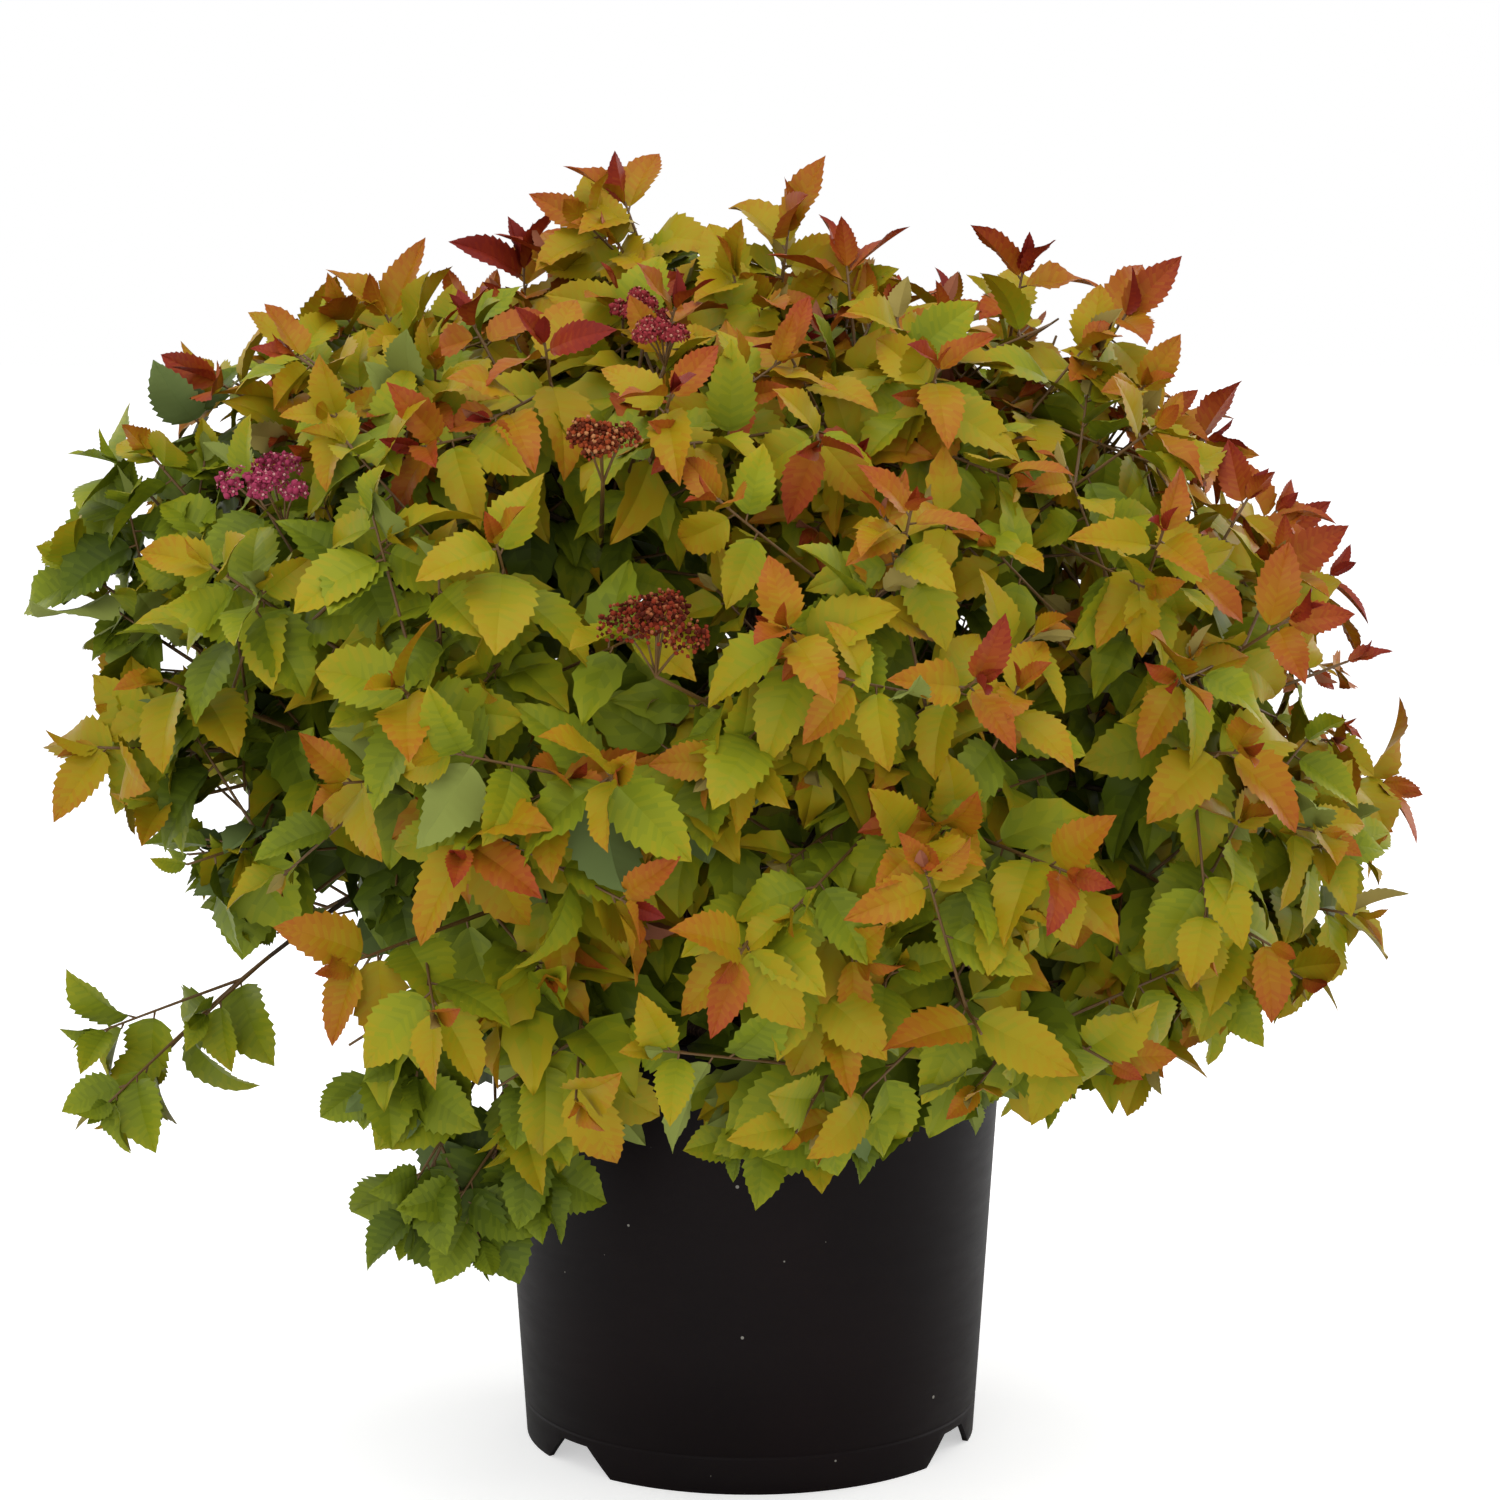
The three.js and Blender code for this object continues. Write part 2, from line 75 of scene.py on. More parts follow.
# The crown, its masses and stems, as in the part's source
GAP = 0.3
CROWN_MIDDLE = np.array([-8.0, 0.0, 290.0])
CROWN_SPREAD = 285
CROWN_RISE = 222
CROWN_DROP = 151
CROWN_FULLNESS = 3.15
CROWN_LEAN = 0.67
HOLLOW = [-80, -35]
HOLLOW_WIDTH = 30
HOLLOW_DEPTH = 0.29
TIERS = [
    dict(name="top", count=1, bearing=0, climb=90, foot=0, rise=62, hub_out=6, hub_up=378),
    dict(name="upper", count=5, bearing=-36, climb=44, foot=9, rise=62, hub_out=86, hub_up=359),
    dict(name="side", count=8, bearing=16, climb=9, foot=17, rise=62, hub_out=117, hub_up=289),
    dict(name="skirt", count=6, bearing=-30, climb=-20, foot=24, rise=34, hub_out=118, hub_up=274),
]
SEED_SHARE = 0.73
MASS_SEED = 9
MASS_BEARING_SCATTER = 12
MASS_CLIMB_SCATTER = 12
HUB_HEIGHT_SCATTER = 16
STEM_FOOT_RADIUS = 3.4
STEM_TIP_RADIUS = 2.3
STEM_LEAD = 45
MASS_STEM_SHARE = 0.47
MASS_STEM_END_RADIUS = 1.5
STEM_POINTS = 40
MASS_STEM_POINTS = 12
STEM_SIDES = 10

# Shoots, as in the part's source
SHOOTS = 120
CROWDING = 1.15
LOWEST_RISE = -0.58
GOLDEN_ANGLE = 137.508
SHOOT_SCATTER = 5
SHOOT_DEPTH = 0.09
SHOOT_SEED = 11
STRAYS = [
    [-62, 78, 266], [-82, 71, 247], [-85, 69, 250], [24, 76, 256], [38, 72, 246], [78, 61, 264],
    [74, 50, 276], [83, 28, 273], [95, -1, 303], [76, -10, 287], [63, -19, 259], [52, -22, 240],
    [-79, 20, 310], [-82, 29, 308], [-83, 38, 292], [-77, 54, 262], [-73, 5, 288], [-78, -29, 320],
    [-42, -42, 276], [-36, -46, 262], [-47, -30, 252], [-27, -37, 238], [8, -40, 224],
    [168, 23, 303],
]
FIRST_TWIG = 0.08
LAST_TWIG = 0.96
TWIG_BEND = 0.33
TWIG_LIFT = 0.03
SHOOT_TURN = 35

# Finer growth that only the dressed plant has. A stray stands out of the crown's outline, and it
# hangs where it leaves the crown low down. A height is the rise of a unit vector from its middle.
GROWTH_SEED = 21
HANGING_HEIGHT = -0.3
HELD_OUT_HEIGHT = -0.6
PAINTED_SHADE_HEIGHT = -0.65
LIFTED_HEIGHT = 0.6
TWIG_FOOT_RADIUS = 1.35
TWIG_TIP_RADIUS = 0.55
TWIG_POINTS = 12
TWIG_WOOD_SHARE = 0.45
SIDE_TWIG_RADIUS = 0.8
SIDE_TWIG_POINTS = 8
TIP_SHORT = 13
HANGING_TIP_SHORT = 26
SIDE_STARTS = [0.12, 0.25, 0.38, 0.5, 0.62, 0.75]
SIDE_REACHES = [0.6, 0.7, 0.79, 0.86, 0.91, 0.94]
STRAY_SIDES = 4
HANGING_SIDES = 3
SIDE_LEAVES = 8
HANGING_SIDE_LEAVES = 6
SIDE_SWING = 13
STRAY_SWING = 6
SIDE_TURN = 70
SIDE_FLUSH_LOSS = 0.12
SIDE_VIGOUR = 0.87
STRAY_DROOP = 0.4
HANGING_STRETCH = 1.6
LEAF_TURN = 144
LEAF_STATIONS = [0, 1, 3, 7, 12, 18, 25, 33, 42, 52, 63, 75, 88, 102, 117, 133]
LEAF_LENGTHS = [14, 20, 29, 34, 37, 38, 39, 39, 40, 40, 39, 38, 37, 36, 34, 33]
LEAF_SPREADS = [8, 24, 46, 57, 63, 68, 72, 75, 77, 79] + [80] * 6
LEAF_SAGS = [0, 0.05, 0.18, 0.32, 0.44, 0.53, 0.6, 0.66, 0.7, 0.73] + [0.75] * 6
LEAF_AGES = [0, 0.1, 0.22, 0.38, 0.53, 0.66, 0.76, 0.83, 0.88, 0.92, 0.94, 0.96, 0.97, 0.98, 0.99, 1]
SUN_LEAF_WIDTH_SHARE = 0.54
SHADE_LEAF_WIDTH_SHARE = 0.7
SHADE_LEAF_GROWTH = 0.3
LEAF_WIDEST = 0.38
LEAF_TEETH = 10
INNER_LEAF_TEETH = 4
# How many half tints older than its own tint a leaf looks, in its parts
VEIN_BASE_LOOK = 1.8
VEIN_TIP_LOOK = -2.0
MARGIN_LOOK = -0.7
VEIN_LOOK = 0.65
INNER_DEPTH = 0.2
PETIOLE = 3.5
OUTWARD = 0.5
SUNWARD = np.array([0.0, -0.22, 0.5])
STRAY_FORWARD = np.array([0.0, -0.35, 0.0])
FACE_SCATTER = 0.34
TURNED_OVER = -0.35
TURNED_SHARE = 0.035
# Strays that hang low under the crown lose flush and take darker green tints. They are partly
# greener, as shade leaves are, and partly darker as painted shade from the crown above.
HUNG_PAINTED_SHADE = 0.25
YOUNG_LEAVES = 5

# The sun that a spray gets, and how its leaves age in it, in steps of LEAF_TINTS. The ages of
# the last leaves are in full sun, and what each unit of shade adds.
MIDDLE_SUN = 0.26
SUN_FROM_ABOVE = 0.4
SUN_FROM_RIGHT = 0.2
LEAST_SUN = -0.12
MOST_SUN = 0.51
FLUSH_SCATTER = 0.14
SHADELESS_FLUSH = 0.6
MOST_SHADE = 1.4
TIP_AGE_IN_SHADE = 6.4
LAST_AGES = [7.4, 1.6]
# Strays held out low at the crown's side keep lighter lime tints down to their last leaf. This is
# painted light, standing in for light shining through their leaves.
HELD_OUT_PAINTED_LIGHT_AGES = [7.1, 0.4]
# Leaves deep inside the crown take older, darker green tints by their depth. This is partly their
# real age and partly painted shade inside the crown.
AGE_AND_PAINTED_SHADE_BY_DEPTH = 6

# How a leaf's parts shift between the finishes of its tint, which are half a tint apart
LOOK_STEPS = 3
LOOK_SCATTER = 0.6

# A head's clusters, fresh or spent: florets in each, spread, looseness, and its least and
# greatest radius as shares of the head's
CLUSTERS = 6
FRESH_HEAD = [30, 0.78, 1, 0.2, 0.36]
SPENT_HEAD = [96, 0.6, 0.84, 0.34, 0.47]
FLORET_TURN = 2.4
BUD_RADII = [1.1, 1.8]
SPENT_RADII = [0.7, 1.3]

# Places where the sky shows through, as [bearing, climb, half width, share of the reach]
OPENINGS = [
    [-60, -33, 11, 0.8],
    [-77, -13, 8, 0.88],
    [-68, -27, 11, 0.78],
    [-46, -17, 9, 0.74],
    [-90, -29, 12, 0.78],
    [-116, -27, 13, 0.8],
]
REACH_MARGIN = 6
REACH_MARGIN_RISE = 9
# The camera, and channels from front to back as it sees them, as [x, z, radius]
EYE = np.array([0.0, -1600.0, 507.0])
CAMERA_DIP = 7.27
CAMERA_LENS = 88.68
CHANNELS = [[-228, 279, 8], [-117, 150, 4], [246, 325, 5], [-182, 240, 5], [131, 486, 5],
            [-252, 343, 5], [159, 437, 4], [-238, 205, 4]]

# Flower heads as [bearing, climb, share of the crown's reach, radius, bloom]
HEADS = [
    [-46, 29, 0.93, 19, "magenta"],
    [-19, 62, 0.93, 12, "pink"],
    [-9, 50, 0.94, 13, "pink"],
    [-12, 34, 0.94, 17, "faded"],
    [-6, 19, 0.94, 22, "crimson"],
    [118, 40, 0.94, 19, "magenta"],
    [160, 20, 0.94, 21, "faded"],
    [245, 30, 0.93, 19, "pink"],
]


# Materials

def linear(colour):
    """A hex colour as linear light."""
    parts = [int(colour[i:i + 2], 16) / 255 for i in (1, 3, 5)]
    return [p / 12.92 if p <= 0.04045 else ((p + 0.055) / 1.055) ** 2.4 for p in parts] + [1]


def add_node(material, kind, settings=None, **inputs):
    """A new node with its settings, and with its inputs set to values or linked to outputs."""
    tree = material.node_tree
    node = tree.nodes.new(f"ShaderNode{kind}")
    for name, value in (settings or {}).items():
        setattr(node, name, value)
    for name, value in inputs.items():
        key = int(name[1:]) if name[0] == "_" else name.replace("_", " ")
        socket = node.inputs[key]
        if isinstance(value, bpy.types.NodeSocket):
            tree.links.new(value, socket)
        else:
            socket.default_value = value
    return node


def finish_of(name, **inputs):
    """A material of one Principled shader, and that shader."""
    material = bpy.data.materials.new(name)
    material.use_nodes = True
    material.node_tree.nodes.clear()
    shader = add_node(material, "BsdfPrincipled", **inputs)
    output = add_node(material, "OutputMaterial")
    material.node_tree.links.new(shader.outputs["BSDF"], output.inputs["Surface"])
    return material, shader


def ramp_of(material, factor, stops):
    """A colour ramp over a factor, from [place, hex colour] stops."""
    node = add_node(material, "ValToRGB", Fac=factor)
    band = node.color_ramp
    for k, (place, colour) in enumerate(stops):
        stop = band.elements[k] if k < 2 else band.elements.new(place)
        stop.position = place
        stop.color = linear(colour)
    return node.outputs["Color"]


def tuned(material, shader, colour, roughness, height, depth, strength):
    """Links a pattern's outputs to a shader's colour, roughness and bump."""
    bump = add_node(material, "Bump", Height=height, Distance=depth, Strength=strength)
    links = material.node_tree.links
    links.new(colour, shader.inputs["Base Color"])
    links.new(roughness, shader.inputs["Roughness"])
    links.new(bump.outputs["Normal"], shader.inputs["Normal"])


def place_in_metres(material, stretch=(1, 1, 1)):
    place = add_node(material, "TexCoord").outputs["Object"]
    return add_node(material, "Mapping", Vector=place, Scale=stretch).outputs["Vector"]


def noise(material, place, **settings):
    return add_node(material, "TexNoise", Vector=place, **settings).outputs["Fac"]


def pot_plastic():
    """Injection-moulded black polypropylene, a little brown from its recycled stock, with a faint
    grain, handling scuffs and dried splashes."""
    material, shader = finish_of("black_pot_plastic", Specular_IOR_Level=0.12)
    place = place_in_metres(material)
    clouds = noise(material, place, Scale=14, Detail=4)
    grain = noise(material, place, Scale=1600, Detail=2)
    streaks = noise(material, place_in_metres(material, (1, 1, 5)), Scale=38, Detail=6, Roughness=0.7)
    specks = add_node(material, "TexVoronoi", Vector=place, Scale=105, Randomness=1)
    reach = add_node(material, "MapRange", Value=noise(material, place, Scale=60, Detail=1),
                     From_Min=0.5, From_Max=0.7, To_Min=0.0, To_Max=0.08)
    dot = add_node(material, "Math", {"operation": "LESS_THAN"},
                   _0=specks.outputs["Distance"], _1=reach.outputs["Result"])
    body = ramp_of(material, clouds, [[0.3, "#0d0708"], [0.7, "#140b0c"]])
    worn = ramp_of(material, streaks, [[0.68, "#000000"], [0.8, "#3a3835"]])
    scuffed = add_node(material, "Mix", {"data_type": "RGBA", "blend_type": "ADD"},
                       _0=0.1, _6=body, _7=worn)
    dusty = add_node(material, "Mix", {"data_type": "RGBA"},
                     _0=dot.outputs["Value"], _6=scuffed.outputs[2], _7=linear("#8d8a82"))
    gloss = add_node(material, "MapRange", Value=streaks,
                     From_Min=0.3, From_Max=0.75, To_Min=0.46, To_Max=0.54)
    tuned(material, shader, dusty.outputs[2], gloss.outputs["Result"], grain, 0.0001, 0.25)
    return material


def crumbled(name, stops, rough_ends, depth, strength, specular, stretch=(1, 1, 1), **settings):
    """A material whose colour, roughness and bump all follow one noise."""
    material, shader = finish_of(name, Specular_IOR_Level=specular)
    pattern = noise(material, place_in_metres(material, stretch), **settings)
    rough = add_node(material, "MapRange", Value=pattern,
                     To_Min=rough_ends[0], To_Max=rough_ends[1]).outputs["Result"]
    tuned(material, shader, ramp_of(material, pattern, stops), rough, pattern, depth, strength)
    return material


def mix_soil():
    """Peat and composted bark, dark and crumbly where it is damp."""
    return crumbled("peat_and_bark_mix", [[0.32, "#17100b"], [0.5, "#33241a"], [0.66, "#5a4330"]],
                    rough_ends=(0.95, 0.8), depth=0.002, strength=0.8, specular=0.2,
                    Scale=260, Detail=8, Roughness=0.75)


def chip_bark():
    """Pine bark chips, red-brown with pale torn edges."""
    return crumbled("pine_bark_chips", [[0.35, "#2a1a10"], [0.52, "#573722"], [0.7, "#8a6442"]],
                    rough_ends=(0.9, 0.75), depth=0.0006, strength=0.6, specular=0.25,
                    Scale=420, Detail=5, Roughness=0.7)


def stem_bark():
    """Thin papery bark in long strips, grey-brown on old wood over cinnamon."""
    return crumbled("papery_stem_bark", [[0.3, "#24160e"], [0.5, "#4a3021"], [0.68, "#7b5b41"]],
                    rough_ends=(0.85, 0.65), depth=0.0004, strength=0.7, specular=0.3,
                    stretch=(1, 1, 0.16), Scale=900, Detail=5, Roughness=0.65)


# Leaf tints from the youngest leaf of a shoot to the oldest. A leaf opens wine red, passes
# through copper and gold as it fills out, and ends a plain soft green in the shade.
LEAF_TINTS = [
    ["wine_red_leaf", "#80261d"],  # the folded bud leaf
    ["scarlet_leaf", "#8f301b"],  # just open
    ["coral_leaf", "#9f481c"],
    ["copper_leaf", "#a65f1a"],  # red thins over a yellow blade
    ["amber_leaf", "#a97416"],
    ["old_gold_leaf", "#a78a15"],
    ["chartreuse_leaf", "#a29218"],  # full size, in the sun
    ["lime_leaf", "#8f931a"],
    ["spring_green_leaf", "#7d891c"],
    ["leaf_green_leaf", "#6a781a"],
    ["deep_green_leaf", "#566616"],  # inside the crown
    ["shade_green_leaf", "#445314"],
]
UNDERSIDE_TINTS = [
    ["red_underside", "#a0644a"],  # matt and rosy
    ["gold_underside", "#a39250"],
    ["lime_underside", "#8a9448"],
    ["green_underside", "#71824a"],  # grey-green and downy
]
UNDERSIDE_OF = [0, 0, 0, 1, 1, 1, 2, 2, 2, 3, 3, 3]
SLOT_OF = ["red_leaves"] * 3 + ["orange_leaves"] * 3 + ["lime_leaves"] * 3 + ["green_leaves"] * 3


def leaf_finishes():
    """Soft waxy leaf faces, one plain tint each and one half way to the next: the veins' relief is
    in the mesh. Then the undersides, for leaves that have turned over."""
    faces = []
    for k, (name, colour) in enumerate(LEAF_TINTS):
        tints = [[name, linear(colour)]]
        if k + 1 < len(LEAF_TINTS):
            following = linear(LEAF_TINTS[k + 1][1])
            halfway = [(a + b) / 2 for a, b in zip(linear(colour), following)]
            tints.append([f"turning_{name}", halfway])
        faces += [
            finish_of(tint, Base_Color=light, Roughness=0.45, Specular_IOR_Level=0.14)[0]
            for tint, light in tints
        ]
    backs = [
        finish_of(name, Base_Color=linear(colour), Roughness=0.8, Specular_IOR_Level=0.15)[0]
        for name, colour in UNDERSIDE_TINTS
    ]
    return faces, backs


def twig_finishes():
    """Last year's wood, dark and dull, and this year's shoots, green flushed with red."""
    wood = finish_of("dark_twig_wood", Base_Color=linear("#41311f"), Roughness=0.75)[0]
    shoot = finish_of("flushed_shoot_skin", Base_Color=linear("#6e5028"), Roughness=0.55)[0]
    return [wood, shoot]


# The petals, buds and stamens of each bloom, all matt
BLOOM_TINTS = {
    "magenta": ["#a03a58", "#6e1f34", "#d09696"],
    "pink": ["#96343a", "#641c22", "#c08270"],
    "crimson": ["#82301c", "#521c10", "#a05c3a"],
    "faded": ["#964222", "#622814", "#b87c50"],
}


def bloom_finishes(bloom):
    return [
        finish_of(f"{bloom}_{name}", Base_Color=linear(colour), Roughness=0.8,
                  Specular_IOR_Level=0.1)[0]
        for name, colour in zip(["petal", "bud", "stamen"], BLOOM_TINTS[bloom])
    ]


# Pieces

def finished(piece, nodes):
    """Puts a piece on the plant's one body, in place of its nodes."""
    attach(piece, "root")
    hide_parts(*nodes)
    return piece


def placed(name, data):
    """A new object in the scene, for a mesh, a lamp or a camera."""
    thing = bpy.data.objects.new(name, data)
    bpy.context.collection.objects.link(thing)
    return thing


class Growth:
    """Points and triangles of one kind, gathered from many twigs or leaves into one mesh."""

    def __init__(self):
        self.points = []
        self.faces = []
        self.finishes = []
        self.count = 0

    def add(self, points, faces, finish=0):
        self.points.append(points)
        self.faces.append(np.asarray(faces) + self.count)
        self.finishes.append(np.broadcast_to(finish, len(faces)))
        self.count += len(points)

    def piece(self, name, materials, slot, nodes):
        mesh = bpy.data.meshes.new(name)
        points = np.concatenate(self.points) * MM
        mesh.from_pydata(points, [], np.concatenate(self.faces))
        for material in materials:
            mesh.materials.append(material)
        mesh.polygons.foreach_set("material_index", np.concatenate(self.finishes).astype(np.int32))
        mesh.polygons.foreach_set("use_smooth", np.ones(len(mesh.polygons), bool))
        mesh.update()
        return finished(placed(name, mesh), nodes)


def unit(vector):
    return vector / norm(vector)


def spoke(axis, angle, aside=(0.5, 0.3, 0.8)):
    """A unit vector square to an axis, turned round it by an angle."""
    sideways = unit(np.cross(axis, aside))
    return sideways * cos(angle) + np.cross(axis, sideways) * sin(angle)


def tube(points, radii, sides):
    """A limb round a line of points, closed at its tip."""
    tangents = np.gradient(points, axis=0)
    tangents /= norm(tangents, axis=1)[:, None]
    normal = unit(np.cross(tangents[0], [0.36, 0.48, 0.8]))
    rings = []
    round_angles = np.arange(sides) * 2 * np.pi / sides
    for point, tangent, radius in zip(points, tangents, radii):
        normal = unit(normal - tangent * normal.dot(tangent))
        binormal = np.cross(tangent, normal)
        spokes = np.outer(np.cos(round_angles), normal) + np.outer(np.sin(round_angles), binormal)
        rings.append(point + spokes * np.reshape(radius, (-1, 1)))
    rings.append(points[-1:] + tangents[-1:] * np.max(radii[-1]) * 0.5)
    faces = []
    for ring in range(len(points) - 1):
        for side in range(sides):
            a = ring * sides + side
            b = ring * sides + (side + 1) % sides
            faces += [[a, b, b + sides], [a, b + sides, a + sides]]
    last = (len(points) - 1) * sides
    faces += [[last + s, last + (s + 1) % sides, last + sides] for s in range(sides)]
    return np.concatenate(rings), np.array(faces)


# Layout, by the rule in the part's source

def seeded_random(seed):
    """The same draws as the part's source makes from this seed."""
    mask = 0xFFFFFFFF
    state = seed & mask

    def draw():
        nonlocal state
        state = (state + 0x6D2B79F5) & mask
        bits = ((state ^ (state >> 15)) * (state | 1)) & mask
        bits ^= (bits + (((bits ^ (bits >> 7)) * (bits | 61)) & mask)) & mask
        return ((bits ^ (bits >> 14)) & mask) / 4294967296

    return draw


def direction(bearing, climb):
    around, up = radians(bearing), radians(climb)
    level = cos(up)
    return np.array([sin(around) * level, -cos(around) * level, sin(up)])


def crown_reach(way):
    """How far the crown reaches from its middle along a unit vector, or along each of many."""
    fullness = CROWN_FULLNESS - CROWN_LEAN * way[..., 0]
    level = np.hypot(way[..., 0], way[..., 1]) / CROWN_SPREAD
    upright = np.abs(way[..., 2]) / np.where(way[..., 2] > 0, CROWN_RISE, CROWN_DROP)
    aside = np.degrees(np.arccos(np.clip(way @ direction(*HOLLOW), -1, 1))) / HOLLOW_WIDTH
    drawn_in = 1 - HOLLOW_DEPTH * np.exp(-aside ** 2)
    return drawn_in * (level ** fullness + upright ** fullness) ** (-1 / fullness)


def crown_point(way, share):
    return CROWN_MIDDLE + way * crown_reach(way) * share


def lay_out_masses():
    draw = seeded_random(MASS_SEED)
    masses = []
    for tier in TIERS:
        for k in range(tier["count"]):
            even_bearing = tier["bearing"] + k * 360 / tier["count"]
            bearing = even_bearing + (draw() - 0.5) * MASS_BEARING_SCATTER
            climb = tier["climb"] + (draw() - 0.5) * MASS_CLIMB_SCATTER
            hub_height = tier["hub_up"] + (draw() - 0.5) * HUB_HEIGHT_SCATTER
            way = direction(bearing, climb)
            hub = direction(bearing, 0) * tier["hub_out"] + UP * hub_height
            foot = direction(even_bearing, 0) * tier["foot"] + UP * (STOOL_TOP + GAP)
            seed = crown_point(way, SEED_SHARE)
            masses.append(dict(
                label=f"{tier['name']}_{k + 1}" if tier["count"] > 1 else tier["name"],
                rise=tier["rise"],
                foot=foot,
                hub=hub,
                seed=seed,
                edge=crown_point(way, 1),
                arrival=unit(seed - hub),
                reaches=[],
            ))
    return masses


def nearest_mass(masses, point):
    return min(masses, key=lambda mass: norm(mass["seed"] - point))


def shoot_reaches():
    draw = seeded_random(SHOOT_SEED)
    reaches = []
    for i in range(SHOOTS):
        rise = 1 - (1 - LOWEST_RISE) * ((i + 0.5) / SHOOTS) ** CROWDING
        climb = degrees(asin(rise)) + (draw() - 0.5) * SHOOT_SCATTER
        bearing = i * GOLDEN_ANGLE + (draw() - 0.5) * 2 * SHOOT_SCATTER
        share = 1 - SHOOT_DEPTH * draw() ** 2
        reaches.append(crown_point(direction(bearing, climb), share))
    for bearing, climb, reach in STRAYS:
        reaches.append(CROWN_MIDDLE + direction(bearing, climb) * reach)
    return reaches


def bezier(corners, count):
    """Points along a quadratic or cubic curve, evenly spaced."""
    t = np.linspace(0, 1, 4 * count)[:, None]
    line = [np.repeat(corner[None], len(t), 0) for corner in corners]
    while len(line) > 1:
        line = [a * (1 - t) + b * t for a, b in zip(line, line[1:])]
    return evenly(line[0], count)


def lengths_along(points):
    """How far along a line each of its points is."""
    return np.concatenate([[0], np.cumsum(norm(np.diff(points, axis=0), axis=1))])


def evenly(points, count):
    along = lengths_along(points)
    places = np.linspace(0, along[-1], count)
    return np.stack([np.interp(places, along, points[:, axis]) for axis in range(3)], axis=1)


def twig_line(start, reach, last_leaf, count, droop=0):
    """Twigs turn up a little towards the light high in the crown, and droop under its edge."""
    height = unit(reach - CROWN_MIDDLE)[2]
    lift = TWIG_LIFT * min(max(2 * height + 0.3, -1), 1)
    arrival = unit(unit(reach - start) + UP * (lift - droop))
    end = reach - arrival * last_leaf
    bend = end - arrival * TWIG_BEND * norm(reach - start)
    return bezier([start, bend, end], count)


def lay_out_shoots(mass):
    """A mass's own stem, and its shoots: those that turn off furthest leave it first."""
    length = norm(mass["edge"] - mass["hub"]) * MASS_STEM_SHARE
    first, last = mass["hub"], mass["hub"] + mass["arrival"] * length

    def turn_off(shoot):
        return unit(shoot[0] - mass["hub"]).dot(mass["arrival"])

    in_order = sorted(mass["reaches"], key=turn_off)
    shoots = []
    for k, (reach, number) in enumerate(in_order):
        station = FIRST_TWIG + (LAST_TWIG - FIRST_TWIG) * (k + 0.5) / len(in_order)
        shoots.append((first + (last - first) * station, reach, k * SHOOT_TURN, number))
    return last, shoots


# Leaves

def leaf_outline(teeth):
    """One flat leaf: points as [along, across, relief], triangles, and how much older or younger
    than its leaf each triangle looks. Rows run slantwise from the midrib to the margin, in turn on
    a ridge that ends between two teeth and in a vein that ends in a tooth."""
    points, rows = [], []

    def half_width(t):
        towards_root = (max(t, 0) / LEAF_WIDEST) ** 0.6
        return 0.5 * towards_root * (max(1 - t, 0) / (1 - LEAF_WIDEST)) ** 1.06

    count = 2 * teeth + 1
    for side in (1, -1):
        for row in range(count):
            rib = row / (count - 1)
            tooth = row % 2
            margin = min(rib ** 0.9 * 0.93 + 0.07 * rib + 0.03 * (1 - rib) + 0.03 * tooth, 1)
            reach = half_width(margin) * (1.06 if tooth else 0.91)
            middle = (rib * 0.55 + margin * 0.45, reach * 0.5)
            relief = 0 if tooth else 0.015
            rows.append(len(points))
            points += [
                [rib, 0, -0.002],
                [middle[0], side * middle[1], relief * (1 if 0 < row < count - 1 else 0)],
                [margin, side * reach, -0.004 if tooth else 0.002],
            ]
    faces, looks = [], []
    for side in range(2):
        for row in range(count - 1):
            a, b = rows[side * count + row], rows[side * count + row + 1]
            look = VEIN_BASE_LOOK + (VEIN_TIP_LOOK - VEIN_BASE_LOOK) * (row + 0.5) / (count - 1)
            for inner, outer in ((0, 1), (1, 2)):
                by_a = [a + inner, a + outer, b + outer]
                by_b = [a + inner, b + outer, b + inner]
                if side == 0:
                    by_a.reverse()
                    by_b.reverse()
                faces += [by_a, by_b]
                base = look + (MARGIN_LOOK if inner else 0)
                looks += [base + VEIN_LOOK * (row % 2), base + VEIN_LOOK * (1 - row % 2)]
    return np.array(points), np.array(faces), np.array(looks)


def bent(outline, leaves):
    """A leaf outline laid out once for each leaf: folded along its midrib, arched to its tip,
    twisted and waved, then set on its twig."""
    x, y, relief = outline.T[:, None, :]
    width, fold, arch, twist, wave, phase = (
        leaves[name][:, None] for name in ("width", "fold", "arch", "twist", "wave", "phase")
    )
    across = y * width
    flat = across * np.cos(fold)
    up = np.abs(across) * np.sin(fold) + relief
    up = up + wave * np.abs(y) * np.sin(9 * x + np.sign(y) * 1.3 + phase)
    turn = twist * x
    flat, up = flat * np.cos(turn) - up * np.sin(turn), flat * np.sin(turn) + up * np.cos(turn)
    angle = arch * x
    ahead = np.sin(angle) / arch + up * np.sin(angle)
    above = (np.cos(angle) - 1) / arch + up * np.cos(angle)
    side = np.cross(leaves["face"], leaves["way"])
    size = leaves["length"][:, None, None]
    return leaves["root"][:, None] + size * (
        ahead[..., None] * leaves["way"][:, None]
        + flat[..., None] * side[:, None]
        + above[..., None] * leaves["face"][:, None]
    )


def sunniness(point):
    """How much sun a spray gets, which keeps its young leaves red: most on top and on the right."""
    way = unit(point - CROWN_MIDDLE)
    sun = MIDDLE_SUN + SUN_FROM_ABOVE * way[2] + SUN_FROM_RIGHT * way[0]
    return max(min(sun, MOST_SUN), LEAST_SUN)


